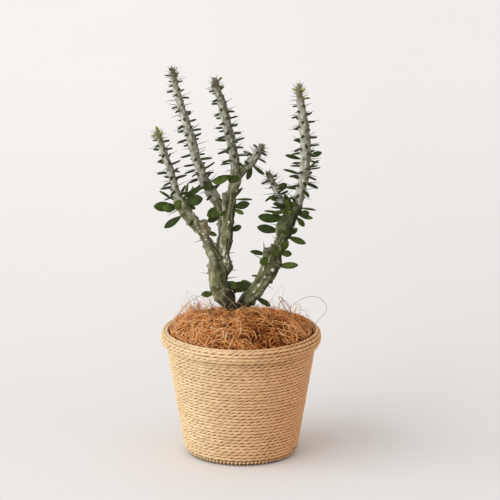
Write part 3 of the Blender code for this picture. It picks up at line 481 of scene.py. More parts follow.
def wound_cord(path, first, last, settings, seed, lay, step, start=0.0, cleft=0.32):
    """A two-ply twisted cord wound round the basket, as rings with their groove, gap, tone and strand values.

    The cord's middle sinks one pitch down the profile a turn. Its section is the outline of two round
    plies side by side, r = c|cos a| + sqrt(p^2 - c^2 sin^2 a), and turns once in a lay. The eight points
    of a ring keep their places on the plies, so the groove between them stays sharp. `cleft` is c as a
    share of the cord's half thickness, and p is the rest. The gap value rises where a point turns to the
    next row.
    """
    arc = np.r_[0, np.cumsum(np.hypot(*np.diff(path, axis=0).T))]
    half = settings.cord_diameter / MM / 2
    pitch = settings.cord_pitch / MM
    turns = (last - first) / pitch
    middle = np.interp((first + last) / 2, arc, path[:, 0])
    count = int(turns * TAU * middle / step)
    theta = np.linspace(0, TAU * turns, count)
    sunk = first + pitch * theta / TAU
    theta = theta + start
    run = np.r_[0, np.cumsum(np.interp(sunk, arc, path[:, 0])[1:] * np.diff(theta))]
    round_basket = np.stack([60 * np.cos(theta), 60 * np.sin(theta), sunk], -1)
    sunk = sunk + 0.3 * drift(round_basket, 30, seed) + 0.17 * drift_along(run, 19, seed + 1)
    sunk = np.clip(sunk, 0, arc[-1])
    radius = np.interp(sunk, arc, path[:, 0])
    height = np.interp(sunk, arc, path[:, 1])
    slope = np.gradient(path, arc, axis=0)
    down = unit(np.stack([np.interp(sunk, arc, slope[:, 0]), np.interp(sunk, arc, slope[:, 1])], -1))
    turn = np.stack([np.cos(theta), np.sin(theta)], -1)
    along = np.stack([down[:, 0] * turn[:, 0], down[:, 0] * turn[:, 1], down[:, 1]], -1)
    out = np.stack([-down[:, 1] * turn[:, 0], -down[:, 1] * turn[:, 1], down[:, 0]], -1)
    proud = 0.16 * drift_along(run, 15, seed + 2)
    centre = np.stack([radius * turn[:, 0], radius * turn[:, 1], height], -1) + out * proud[:, None]
    size = half * (1 + 0.06 * drift_along(run, 9, seed + 3))
    seats = np.radians([0, 52, 90, 128, 180, 232, 270, 308])
    outline = cleft * np.abs(np.cos(seats)) + np.sqrt((1 - cleft) ** 2 - (cleft * np.sin(seats)) ** 2)
    twist = -TAU * run / lay + 2.2 * drift_along(run, 38, seed + 4)
    angle = twist[:, None] + seats
    reach = size[:, None] * outline
    rings = centre[:, None] + reach[..., None] * (
        np.cos(angle)[..., None] * out[:, None] + np.sin(angle)[..., None] * along[:, None]
    )
    groove = np.broadcast_to(np.array([0, 0.3, 1, 0.3, 0, 0.3, 1, 0.3]), (count, 8))
    gap = np.clip(1.6 * np.abs(np.sin(angle)) - 0.6, 0, 1)
    ply = np.sign(np.cos(seats)) * 0.4 * drift_along(run, 31, seed + 5)[:, None]
    tone = 0.6 * drift_along(run, 24, seed + 6)[:, None] + ply
    strand = np.stack([
        np.broadcast_to(run[:, None], angle.shape), 6 * np.broadcast_to(np.cos(seats), angle.shape),
        6 * np.broadcast_to(np.sin(seats), angle.shape),
    ], -1)
    return rings, groove, gap, tone, strand


def cord_piece(name, wound, span, finish, nodes):
    """A stretch of the wound cord, between two shares of its length, as one closed piece."""
    rings, groove, gap, tone, strand = wound
    start, end = (round(share * (len(rings) - 1)) for share in span)
    part = slice(start, end + 1)
    rings = rings[None, part]
    attributes = {
        "groove": spread(groove[None, part], rings), "gap": spread(gap[None, part], rings),
        "tone": spread(tone[None, part], rings),
        "strand": np.stack([spread(strand[None, part, :, axis], rings) for axis in range(3)], -1),
    }
    mesh = mesh_of(name, closed_tubes(rings), attributes)
    return placed(name, mesh, finish, nodes)


# Coconut fibre


def coir_height(x, y):
    """Height of the mound's smooth form: a dome of an even power, pressed down behind the trunk."""
    radius = np.hypot(x, y)
    out = np.minimum(radius, COIR_REACH) / COIR_REACH
    behind = np.clip((y + 2) / 46, 0, 1) * np.clip((92 - radius) / 24, 0, 1)
    return COIR_EDGE + (COIR_TOP - COIR_EDGE) * (1 - out**COIR_DOME) - 8.5 * behind**2 * (3 - 2 * behind)


def coir_relief(points):
    """Bumps of the mound, in mm: a broad swell and small clumps, calmed towards the rim."""
    flat = points * np.array([1, 1, 0])
    fade = np.clip((COIR_REACH - np.hypot(points[..., 0], points[..., 1])) / 12, 0, 1)
    return fade * (1.8 * drift(flat, 16, 41) + 1.3 * drift(flat, 7, 42)) + 0.5 * drift(flat, 3, 43)


def coir_mound(finish):
    """The packed fibre under the loose strands: a turned profile, raised by coir_relief on its top."""
    foot = POT_TOP + 0.3
    inset = CAD_CORD + SHELL_THICKNESS + 0.6
    radii = np.concatenate([np.linspace(1.5, 84, 44), [86.5, 88.2, 89.4]])
    top = np.stack([radii, COIR_EDGE + 0 * radii], -1)
    side = [(89.2, 154.4), (88.3, 152.4), (shell_radius(SHELL_TOP, inset), 151.5), (shell_radius(foot, inset), foot)]
    rings = turned(np.vstack([top, side, (1, foot)]), 150)
    relief = coir_relief(rings)
    shown = np.arange(len(rings)) < len(radii)
    rings[shown, :, 2] = (coir_height(rings[..., 0], rings[..., 1]) - 2.0 + relief)[shown]
    edge = np.clip((np.hypot(rings[..., 0], rings[..., 1]) - 80) / 6, 0, 1)
    # Painted shade: the mound is dark, as the shade under the loose fibres, a little lighter on its bumps and darker
    # in its hollows. It is lighter towards the rim.
    attributes = {"tone": spread(np.clip(relief / 3, -1, 1)[None], rings[None]) * 0.4 - 1.2 + 0.9 * spread(edge[None], rings[None])}
    mesh = mesh_of("coir_mound", closed_tubes(rings[None]), attributes)
    return placed("coir_mound", mesh, finish, ["coir_mat"])


def curled(draw, count, steps, reach, bend):
    """Flat curled runs (x, y, heading) whose middles lie at the origin; curvature drifts along each."""
    share = np.linspace(0, 1, steps)
    turn = draw.choice([-1, 1], count) * draw.uniform(0.4, 1, count) * bend
    change = draw.normal(0, bend * 0.6, count)
    heading = draw.uniform(0, TAU, count)[:, None] + turn[:, None] * share + change[:, None] * share**2
    step = draw.uniform(*reach, count)[:, None] / (steps - 1)
    x = np.cumsum(step * np.cos(heading), 1)
    y = np.cumsum(step * np.sin(heading), 1)
    half = steps // 2
    return x - x[:, half : half + 1], y - y[:, half : half + 1], heading


def coir_strands(name, layer, seed, finish):
    """Loose curled fibres over the mound.

    Each is a run whose curvature drifts along it, laid on the mound's height, with its middle lifted and
    its ends sunk. Its section is a triangle that narrows to both ends.
    """
    draw = np.random.default_rng(seed)
    steps, count = 9, layer.count
    share = np.linspace(0, 1, steps)
    spot = 88 * np.sqrt(draw.uniform(0, 1, count))
    angle = draw.uniform(0, TAU, count)
    x, y, heading = curled(draw, count, steps, layer.reach, layer.bend)
    x = x + (spot * np.cos(angle))[:, None]
    y = y + (spot * np.sin(angle))[:, None]
    out = np.hypot(x, y)
    inward = np.minimum(1, 88.8 / out)
    x, y, out = x * inward, y * inward, out * inward
    lift = draw.uniform(*layer.lift, count)[:, None]
    arch = layer.arch * draw.gamma(2.0, 0.7, count)[:, None] * np.sin(math.pi * share)
    wave = 0.7 * np.sin(draw.uniform(2, 7, count)[:, None] * share + heading)
    level = coir_height(x, y)
    relief = coir_relief(np.stack([x, y, 0 * x], -1))
    z = level + relief + lift + arch + wave - 1.8
    calm = np.clip((out - 78) / 10, 0, 1)
    z = z * (1 - calm) + calm * np.minimum(z, level + 1.5)
    z = np.maximum(z, level - 4)
    thick = draw.uniform(*layer.thick, count)
    radii = thick[:, None] * (0.55 + 0.45 * np.sin(math.pi * np.clip(share, 0.08, 0.92)))
    rings = tube_rings(np.stack([x, y, z], -1), radii, 3)
    # Painted shadow: two dark patches, one before the trunk to its right and one just before the trunk's foot.
    # Painted shade grows darker to the right, away from the side light, and the relief makes raised fibres lighter
    # and sunk ones darker, as painted light and shade.
    shade = 0.75 * np.exp(-(((x - 20) / 12) ** 2) - ((y + 52) / 22) ** 2) + 0.003 * (x + 70)
    shade = shade + 0.75 * np.exp(-(((x - 2) / 34) ** 2) - ((y + 14) / 14) ** 2)
    tone = draw.uniform(*layer.tone, count)[:, None] + relief / 3.5 - shade
    attributes = {"tone": spread(np.broadcast_to(tone[..., None], rings.shape[:3]), rings)}
    mesh = mesh_of(name, closed_tubes(rings), attributes)
    return placed(name, mesh, finish, ["coir_mat"])


# Stems


def smooth_path(points, spacing):
    """A Catmull-Rom curve through the points, radius included, read about every `spacing` mm."""
    points = np.array(points, float)
    ends = np.vstack([2 * points[0] - points[1], points, 2 * points[-1] - points[-2]])
    t = np.linspace(0, 1, 16, endpoint=False)[:, None]
    runs = []
    for a, b, c, d in zip(ends, ends[1:], ends[2:], ends[3:]):
        square = 2 * a - 5 * b + 4 * c - d
        cube = 3 * b - a - 3 * c + d
        runs.append(b + 0.5 * ((c - a) * t + square * t**2 + cube * t**3))
    dense = np.vstack(runs + [points[-1:]])
    arc = np.r_[0, np.cumsum(np.linalg.norm(np.diff(dense[:, :3], axis=0), axis=1))]
    where = np.linspace(0, arc[-1], max(3, round(arc[-1] / spacing) + 1))
    read = np.column_stack([np.interp(where, arc, dense[:, axis]) for axis in range(4)])
    return Stem(read, where)


def at(stem, arcs):
    """Positions, unit directions and radii at distances along the stem."""
    def read(where, axes):
        return np.stack([np.interp(where, stem.arc, stem.points[:, axis]) for axis in axes], -1)

    arcs = np.asarray(arcs, float)
    direction = unit(read(arcs + 2, range(3)) - read(arcs - 2, range(3)))
    return read(arcs, range(3)), direction, read(arcs, (3,))[..., 0]


def square_to(axes, vectors):
    """The parts of the vectors that are square to the axes, as unit vectors."""
    return unit(vectors - np.sum(vectors * axes, -1, keepdims=True) * axes)


def outwards(directions, azimuths):
    """Unit vectors square to the stem that point to the azimuths round +Z."""
    flat = np.stack([np.cos(azimuths), np.sin(azimuths), 0 * azimuths], -1)
    return square_to(directions, flat)


def stances(stem, arcs, azimuths, rises, rolls):
    """Roots, directions, blade normals and sunk depths of leaves or spines on a stem.

    The rise is measured from square to the stem, and roll 0 lays a blade square to it.
    """
    centres, directions, radii = at(stem, arcs)
    out = outwards(directions, azimuths)
    along = np.cos(rises)[:, None] * out + np.sin(rises)[:, None] * directions
    level = square_to(along, directions)
    normal = np.cos(rolls)[:, None] * level + np.sin(rolls)[:, None] * np.cross(along, level)
    sink = ROOT_SINK + ROOT_SINK_SHARE * radii
    return centres + out * (radii - sink)[:, None], along, normal, sink


def from_photo(column, row, depth):
    """The point behind a pixel of the photograph, `depth` mm along +Y."""
    up = (PHOTO_FOOT - row) * PHOTO_SCALE
    height = (up - depth * math.sin(PHOTO_TILT)) / math.cos(PHOTO_TILT)
    return np.array([(column - PHOTO_AXIS) * PHOTO_SCALE, depth, height])


def arc_near(stem, column, row):
    """The distance along a stem where its middle line, as seen, passes nearest to a pixel."""
    arcs = np.linspace(0, stem.arc[-1], 400)
    x, y, z = (np.interp(arcs, stem.arc, stem.points[:, axis]) for axis in range(3))
    up = z * math.cos(PHOTO_TILT) + y * math.sin(PHOTO_TILT)
    across = x - (column - PHOTO_AXIS) * PHOTO_SCALE
    above = up - (PHOTO_FOOT - row) * PHOTO_SCALE
    return float(arcs[np.argmin(np.hypot(across, above))])


def seen_stance(stem, root, tip, forward, roll):
    """Root, direction, blade normal and full length of a leaf of SEEN_LEAVES.

    A leaf that lies before its stem, 12 mm or more, starts on the skin behind its root's pixel, and its
    roll is measured to the viewer's side. The others start on the side of the stem that their tip is on.
    """
    centre, direction, radius = at(stem, arc_near(stem, *root))
    end = from_photo(*tip, centre[1] - forward)
    if forward < 12:
        sink = ROOT_SINK + ROOT_SINK_SHARE * radius
        start = centre + square_to(direction, end - centre) * (radius - sink)
    else:
        aside = np.clip((root[0] - PHOTO_AXIS) * PHOTO_SCALE - centre[0], -0.85 * radius, 0.85 * radius)
        start = centre + np.array([aside, 0.6 - math.sqrt(radius**2 - aside**2), 0])
        start = from_photo(PHOTO_AXIS + start[0] / PHOTO_SCALE, root[1], start[1])
    along = unit(end - start)
    if forward < 12:
        up = square_to(along, np.array([0, 0, 1.0]))
        front = np.cross(along, up)
        front = -front if front[1] > 0 else front
    else:
        front = square_to(along, np.array([0, -1.0, 0.3]))
        up = np.cross(front, along)
    return start, along, math.cos(roll) * up + math.sin(roll) * front, np.linalg.norm(end - start)


def blades(root, along, normal, length, width, thick, bend, rings, columns, peak=1.35, blunt=0.62):
    """Fleshy leaves as lens-shaped solids.

    At a share u of its length a leaf's half width is w/2 * sin(pi u^peak)^blunt, which is widest past the
    middle and rounded at the tip. Its thickness follows the square root of that, its section is an ellipse
    with a hollowed upper side, and the blade bends by bend * u^2 along its normal.
    """
    share = np.linspace(0.035, 0.985, rings)
    outline = np.sin(math.pi * share**peak) ** blunt
    angles = np.arange(columns) * TAU / columns
    side = np.cross(normal, along)
    forward = share[:, None] * length[:, None, None]
    across = width[:, None, None] / 2 * outline[:, None] * np.cos(angles)
    hollow = 0.10 * width[:, None, None] * outline[:, None] * np.cos(angles) ** 2
    height = thick[:, None, None] / 2 * np.sqrt(outline)[:, None] * np.sin(angles)
    height = height + hollow + bend[:, None, None] * length[:, None, None] * (share**2)[:, None]
    ring = (
        root[:, None, None] + forward[..., None] * along[:, None, None]
        + across[..., None] * side[:, None, None] + height[..., None] * normal[:, None, None]
    )
    last = root + along * length[:, None] + normal * (bend * length)[:, None]
    edge = np.broadcast_to(np.abs(np.cos(angles)) ** 3, ring.shape[:3])
    fore = np.broadcast_to(share[:, None], ring.shape[:3])
    return ring, root, last, edge, fore


def spikes(root, along, normal, length, base, bend, columns=5):
    """Spines: round, bent a little, thick at the foot and ending in a point."""
    share = np.array([0, 0.12, 0.35, 0.65, 0.97])
    taper = np.array([1.25, 0.95, 0.75, 0.5, 0.1])
    paths = (
        root[:, None] + (share * length[:, None])[..., None] * along[:, None]
        + (bend[:, None] * length[:, None] * share**2)[..., None] * normal[:, None]
    )
    rings = tube_rings(paths, base[:, None] * taper, columns)
    return rings, np.broadcast_to(share[:, None], rings.shape[:3])


# Plant


def areoles(stem, step, first, seed):
    """Distances and azimuths of the areoles on a stem: one golden angle on at each step, not quite even."""
    draw = np.random.default_rng(seed)
    arcs = np.arange(first, stem.arc[-1] - 0.6, step)
    azimuths = seed + np.arange(len(arcs)) * GOLDEN_ANGLE + draw.uniform(-0.14, 0.14, len(arcs))
    return arcs + draw.uniform(-0.25, 0.25, len(arcs)) * step, azimuths


def closeness(arcs, azimuths, radius, spots, spot_azimuths, long, wide):
    """For points on a stem, the highest of e^(-d^2) over the spots, d measured `long` by `wide` mm."""
    total = np.zeros(arcs.shape)
    for spot, azimuth in zip(spots, spot_azimuths):
        aside = np.arctan2(np.sin(azimuths - azimuth), np.cos(azimuths - azimuth)) * radius
        total = np.maximum(total, np.exp(-(((arcs - spot) / long) ** 2) - (aside / wide) ** 2))
    return total


def shoot_stem(points, carrier):
    """The stem's path, started a little inside its carrier and short of the bunch on its tip."""
    run = unit(np.subtract(carrier[-1][:3], carrier[-2][:3]).astype(float))
    first = np.array(points[0], float)
    inner = np.r_[first[:3] - run * 3.0, first[3] * 0.96]
    whole = smooth_path([tuple(inner), *points], 1.0)
    return Stem(whole.points[:-TIP_BUNCH], whole.arc[:-TIP_BUNCH])


def shoot_skin(name, node, stem, arcs, azimuths, step, finish):
    """A leafy stem's skin.

    Round rings along the path, closed by a rounded tip. Five ribs climb it along the areoles, each crest
    ((1 + cos) / 2)^1.6 high, with a cushion under each areole and fine lengthwise wrinkles.
    """
    columns = 36
    around = np.arange(columns) * TAU / columns
    length = stem.arc[-1]
    dome = np.radians(np.array([20, 40, 58, 74, 86]))
    where = np.r_[stem.arc, np.full(len(dome), length)]
    centres, directions, radii = at(stem, where)
    radii[-len(dome):] *= np.cos(dome)
    centres[-len(dome):] += directions[-len(dome):] * (stem.points[-1, 3] * np.sin(dome))[:, None]
    grid_arc = np.broadcast_to(where[:, None], (len(where), columns))
    grid_azimuth = np.broadcast_to(around, grid_arc.shape)
    young = grid_arc / length
    fade = np.clip((length - grid_arc) / 10, 0, 1) * np.clip(radii[:, None] / 5, 0, 1)
    climb = (5 * GOLDEN_ANGLE - 2 * TAU) / (5 * step)
    wander = 0.5 * drift_along(where, 26, 71)[:, None]
    rib = ((1 + np.cos(5 * (grid_azimuth - azimuths[0] - climb * (grid_arc - arcs[0]) + wander))) / 2) ** 1.6
    cushion = closeness(grid_arc, grid_azimuth, 5.5, arcs, azimuths, 1.5, 1.5)
    eye = closeness(grid_arc, grid_azimuth, 5.5, arcs - 1.8, azimuths, 2.0, 1.4)
    wheel = np.stack([np.cos(around) * 6, np.sin(around) * 6, 0 * around], -1)
    skin = wheel[None] + grid_arc[..., None] * np.array([0, 0, 0.22])
    wrinkle = drift(skin, 1.6, 72)
    lump = drift(wheel[None] + grid_arc[..., None] * np.array([0, 0, 1.0]), 6, 73)
    raised = fade * (0.4 * (rib - 0.4) + 1.4 * cushion - 0.6 * eye + 0.3 * wrinkle + 0.8 * lump)
    out = outwards(directions[:, None], grid_azimuth)
    rings = centres[:, None] + out * (radii[:, None] + raised)[..., None]
    tip = stem.points[-1, :3] + directions[-1] * stem.points[-1, 3]
    rings = rings[None]
    attributes = {
        "rib": spread((rib * fade)[None], rings), "eye": spread(eye[None], rings),
        "young": spread(young[None], rings), "grain": spread(wrinkle[None], rings),
        "pale": spread(np.full(young.shape, GROWTH[node].pale)[None], rings),
    }
    mesh = mesh_of(name, closed_tubes(rings, last=tip[None]), attributes)
    mark_sunny(mesh)
    return placed(name, mesh, finish, [node])


def clear_of(paths, stems, own, gap):
    """Which of the paths (paths, points, 3) stay clear of every stem but their own."""
    free = np.ones(len(paths), bool)
    for key, stem in stems.items():
        if key in own:
            continue
        sparse = stem.points[::3]
        apart = np.linalg.norm(paths[:, :, None] - sparse[None, None, :, :3], axis=-1)
        free &= (apart > sparse[:, 3] + gap).all(axis=(1, 2))
    return free


def along_points(root, along, length, shares=(0.5, 0.8, 1.0)):
    return root[:, None] + along[:, None] * (length[:, None] * np.array(shares))[..., None]


def seen_leaves(keys, stems):
    """Poses and sizes of the leaves of SEEN_LEAVES that grow on the named stems."""
    rows = []
    for name, root, tip, forward, width, roll in SEEN_LEAVES:
        if name in keys:
            start, along, normal, length = seen_stance(stems[name], root, tip, forward, math.radians(roll))
            rows.append((*start, *along, *normal, length, width))
    return np.array(rows, float).reshape(-1, 11)


def leaf_solid(groups):
    """One solid from groups of blades, with their edge, fore, young and shade values."""
    solids, attributes = [], {"edge": [], "fore": [], "fresh": [], "shade": []}
    for ring, root, last, edge, fore, fresh, shade in groups:
        solids.append(closed_tubes(ring, first=root, last=last))
        attributes["edge"].append(spread(edge, ring))
        attributes["fore"].append(spread(fore, ring))
        attributes["fresh"].append(spread(fresh[:, None, None], ring))
        attributes["shade"].append(spread(shade[:, None, None], ring))
    return joined(solids), {key: np.concatenate(values) for key, values in attributes.items()}


def large_leaves(keys, stems, draw, thick):
    """The group of the leaves that the photograph shows one by one."""
    seen = seen_leaves(keys, stems)
    count = len(seen)
    width = seen[:, 10]
    blade = blades(
        seen[:, :3], seen[:, 3:6], seen[:, 6:9], seen[:, 9], width,
        thick * (0.85 + 0.03 * width), draw.uniform(-0.07, 0.03, count), 12, 14,
    )
    return (*blade, np.zeros(count), draw.uniform(-1, 1, count))


def shoot_leaves(name, node, stem, stems, arcs, azimuths, settings, seed, finish):
    """The small fleshy leaves under the spines, a tuft of fresh ones at the tip, and the seen ones."""
    draw = np.random.default_rng(seed + 100)
    young = arcs / stem.arc[-1]
    count = len(arcs)
    size = (settings.leaf_length / MM - LEAF_TAPER * young) * draw.uniform(0.72, 1.12, count)
    rise = np.radians(draw.uniform(-8, 14, count) + 30 * np.clip(young - 0.9, 0, 1) / 0.1)
    roll = np.radians(draw.uniform(-25, 25, count))
    root, along, normal, sink = stances(stem, arcs, azimuths, rise, roll)
    length = size + sink
    keep = draw.uniform(0, 1, count) > 0.14
    keep &= clear_of(along_points(root, along, length), stems, [node], 1.0)
    keep &= arcs > 2.5
    width = size * draw.uniform(0.30, 0.42, count)
    thick = settings.leaf_thickness / MM * draw.uniform(0.9, 1.2, count)
    bend = draw.uniform(-0.12, 0.08, count)
    pick = [values[keep] for values in (root, along, normal, length, width, thick, bend)]
    tip_fresh, opening, _ = GROWTH[node]
    fresh = tip_fresh * np.clip((young - 0.86) / 0.12, 0, 1)[keep]
    groups = [(*blades(*pick, 8, 10, 1.05, 0.42), fresh, draw.uniform(-1.3, -0.4, keep.sum()))]
    tuft = 16
    below = np.linspace(0.3, 10, tuft)
    arc = stem.arc[-1] - below
    azimuth = np.arange(tuft) * GOLDEN_ANGLE + seed
    rise = np.radians(84 - below * opening + draw.uniform(-8, 8, tuft))
    root, along, normal, sink = stances(stem, arc, azimuth, rise, np.zeros(tuft))
    size = draw.uniform(2.0, 4.2, tuft) * (1 + 1.1 * tip_fresh**8)
    blade = blades(
        root, along, normal, size + sink, size * (0.42 - 0.14 * tip_fresh), np.full(tuft, 1.3),
        draw.uniform(-0.1, 0.15, tuft), 8, 10,
    )
    groups.append((*blade, tip_fresh * draw.uniform(0.6, 1, tuft), draw.uniform(-1, 1, tuft)))
    if any(row[0] == node for row in SEEN_LEAVES):
        groups.append(large_leaves([node], stems, draw, settings.leaf_thickness / MM))
    solid, attributes = leaf_solid(groups)
    return placed(name, mesh_of(name, solid, attributes), finish, [node])


def shoot_spines(name, node, stem, stems, arcs, azimuths, settings, seed, finish):
    """A spine over each areole, more upright towards the tip, and a tight bunch of them on the tip."""
    draw = np.random.default_rng(seed + 200)
    bunch = np.arange(26)
    arcs = np.r_[arcs + SPINE_ABOVE, stem.arc[-1] - 0.3 - 0.5 * bunch]
    azimuths = np.r_[azimuths, seed + 1.1 + bunch * GOLDEN_ANGLE]
    inside = arcs < stem.arc[-1]
    arcs, azimuths = arcs[inside], azimuths[inside]
    young = arcs / stem.arc[-1]
    count = len(arcs)
    rise = np.radians(draw.uniform(-4, 18, count) + 50 * np.clip(young - 0.88, 0, 1) / 0.12)
    root, along, normal, sink = stances(stem, arcs, azimuths, rise, draw.uniform(-3, 3, count))
    length = settings.spine_length / MM * draw.uniform(0.72, 1.08, count) * (1 - 0.5 * young**6) + sink
    keep = (draw.uniform(0, 1, count) > 0.08) & clear_of(along_points(root, along, length), stems, [node], 0.6)
    crowd = np.arange(count) >= count - len(bunch)
    length = np.where(crowd, 0.85 * length, length)
    base = settings.spine_width / MM / 2 * draw.uniform(0.85, 1.15, count) * np.where(crowd, 0.75, 1)
    bend = draw.uniform(-0.08, 0.08, count)
    pick = [values[keep] for values in (root, along, normal, length, base, bend)]
    rings, share = spikes(*pick)
    attributes = {"fore": spread(share, rings)}
    return placed(name, mesh_of(name, closed_tubes(rings), attributes), finish, [node])


def nearest_on(points, stems):
    """For each point, the stem whose skin is nearest, the distance along it and the azimuth round it."""
    samples = np.concatenate([np.c_[stem.points, stem.arc, np.full(len(stem.arc), index)]
                              for index, stem in enumerate(stems)])
    found = np.empty(len(points), int)
    for start in range(0, len(points), 4000):
        part = points[start : start + 4000]
        apart = np.linalg.norm(part[:, None] - samples[None, :, :3], axis=-1) - samples[:, 3]
        found[start : start + 4000] = apart.argmin(1)
    centre = samples[found]
    azimuth = np.arctan2(points[:, 1] - centre[:, 1], points[:, 0] - centre[:, 0])
    return centre[:, 5].astype(int), centre[:, 4], azimuth


def trunk_bark(finish, voxel):
    """The woody arms, roots and stumps as one skin.

    Round tubes along their paths are grown together by a voxel remesh and smoothed. The skin is then moved
    along its normals by lengthwise ridges, broad lumps and a knot at each old areole.
    """
    arms = [smooth_path(points, 2.0) for points in (LEFT_ARM, MIDDLE_ARM, RIGHT_ARM)]
    roots = [smooth_path(points, 2.0) for points in (TALL_LEFT_ROOT, SHORT_RIGHT_ROOT, SMALL_RIGHT_ROOT)]
    tubes = [closed_tubes(tube_rings(s.points[None, :, :3], s.points[None, :, 3], 24)) for s in arms + roots]
    for first, last, radius in STUMPS:
        ends = np.array([first, last], float)
        path = ends[0] + np.linspace(0, 1, 12)[:, None] * (ends[1] - ends[0])
        sizes = radius * np.linspace(1, 0.9, 12)
        tubes.append(closed_tubes(tube_rings(path[None], sizes[None], 18)))
    core = bpy.data.objects.new("trunk_core", mesh_of("trunk_core", joined(tubes), {}))
    bpy.context.scene.collection.objects.link(core)
    remesh = core.modifiers.new("Grow together", "REMESH")
    remesh.mode = "VOXEL"
    remesh.voxel_size = voxel
    soften = core.modifiers.new("Soften", "SMOOTH")
    soften.factor = 0.5
    soften.iterations = 5
    mesh = evaluated_mesh(core)
    bpy.data.objects.remove(core, do_unlink=True)
    points, normals = points_of(mesh)
    which, arcs, azimuths = nearest_on(points, arms + roots)
    wheel = np.stack([9 * np.cos(azimuths), 9 * np.sin(azimuths), 40.0 * which], -1)
    grain = drift(wheel + arcs[:, None] * np.array([0, 0, 0.2]), 2.4, 81)
    ridge = 1 - np.abs(drift(wheel + arcs[:, None] * np.array([0, 0, 0.16]), 4.2, 82)) * 2
    lump = drift(points, 8, 83)
    swell = drift(points, 17, 84)
    knot = np.zeros(len(points))
    for index, stem in enumerate(arms):
        here = which == index
        spots, turns = areoles(stem, 5.2, 20, index + 3)
        knot[here] = closeness(arcs[here], azimuths[here], 9, spots, turns, 1.7, 2.1)
    cut = np.zeros(len(points))
    for first, last, radius in STUMPS:
        axis = unit(np.subtract(last, first).astype(float))
        along = (points - np.array(last)) @ axis
        aside = np.linalg.norm(points - np.array(last) - along[:, None] * axis, axis=1)
        near = np.clip((along + 1.3) / 0.9, 0, 1) * np.clip((radius + 0.8 - aside) / 0.8, 0, 1)
        cut = np.maximum(cut, near)
    bark = 1 - cut
    low = np.clip((215 - points[:, 2]) / 40, 0, 1)
    raised = bark * (0.6 * grain + 1.1 * ridge + 1.8 * lump + 1.8 * swell + 2.4 * knot * (1 - 0.4 * low))
    for place, reach, amount in TRUNK_FORMS:
        raised += amount * np.exp(-((np.linalg.norm(points - np.array(place), axis=1) / reach) ** 2))
    points = points + normals * (raised - 0.6)[:, None]
    scar = np.zeros(len(points))
    for column, row, depth, reach in SCARS:
        apart = np.linalg.norm(points - from_photo(column, row, depth), axis=1)
        scar = np.maximum(scar, np.exp(-((apart / reach) ** 2)))
    mesh.vertices.foreach_set("co", (points * MM).astype(np.float32).ravel())
    warm = np.zeros(len(points))
    first, last, radius = STUMPS[1]
    axis = unit(np.subtract(last, first).astype(float))
    along = (points - np.array(first)) @ axis
    aside = np.linalg.norm(points - np.array(first) - along[:, None] * axis, axis=1)
    warm = np.clip((along - 4) / 10, 0, 1) * np.clip((radius + 2.5 - aside) / 1.5, 0, 1)
    for key, values in (
        ("grain", grain), ("rib", ridge), ("eye", knot), ("cut", cut), ("warm", warm), ("lump", lump),
        ("scar", scar),
    ):
        write_numbers(mesh, key, values)
    mesh.update()
    mark_sunny(mesh)
    mesh.shade_smooth()
    mesh.name = "trunk_bark"
    return placed("trunk_bark", mesh, finish, ["trunk"])


def trunk_leaves(stems, settings, finish):
    draw = np.random.default_rng(31)
    groups = [large_leaves(["left", "middle", "right"], stems, draw, settings.leaf_thickness / MM)]
    solid, attributes = leaf_solid(groups)
    return placed("trunk_leaves", mesh_of("trunk_leaves", solid, attributes), finish, ["trunk"])


def trunk_spines(stems, settings, finish):
    """Old spines, further apart than on the shoots, with the dry spike of the right arm's stub."""
    draw = np.random.default_rng(32)
    groups = []
    for key, low in (("left", 215), ("middle", 235), ("right", 200)):
        stem = stems[key]
        start = float(np.interp(low, stem.points[:, 2], stem.arc))
        arcs, azimuths = areoles(stem, 6.5, start, len(key))
        count = len(arcs)
        rise = np.radians(draw.uniform(-6, 16, count))
        root, along, normal, sink = stances(stem, arcs, azimuths, rise, draw.uniform(-3, 3, count))
        length = settings.spine_length / MM * draw.uniform(0.5, 0.95, count) + sink
        keep = (draw.uniform(0, 1, count) > 0.25) & clear_of(along_points(root, along, length), stems, [key], 0.6)
        base = settings.spine_width / MM / 2 * draw.uniform(0.85, 1.15, count)
        bend = draw.uniform(-0.06, 0.06, count)
        groups.append([values[keep] for values in (root, along, normal, length, base, bend)])
    dry = from_photo(264.5, 252, 2)
    groups.append([np.array(value, float) for value in (
        [dry], [unit(from_photo(263.5, 240, 0) - dry)], [(0, -1, 0)], [15.5], [1.3], [0.04],
    )])
    root, along, normal, length, base, bend = (np.concatenate(part) for part in zip(*groups))
    rings, share = spikes(root, along, normal, length, base, bend)
    attributes = {"fore": spread(share, rings)}
    mesh = mesh_of("trunk_spines", closed_tubes(rings), attributes)
    return placed("trunk_spines", mesh, finish, ["trunk"])


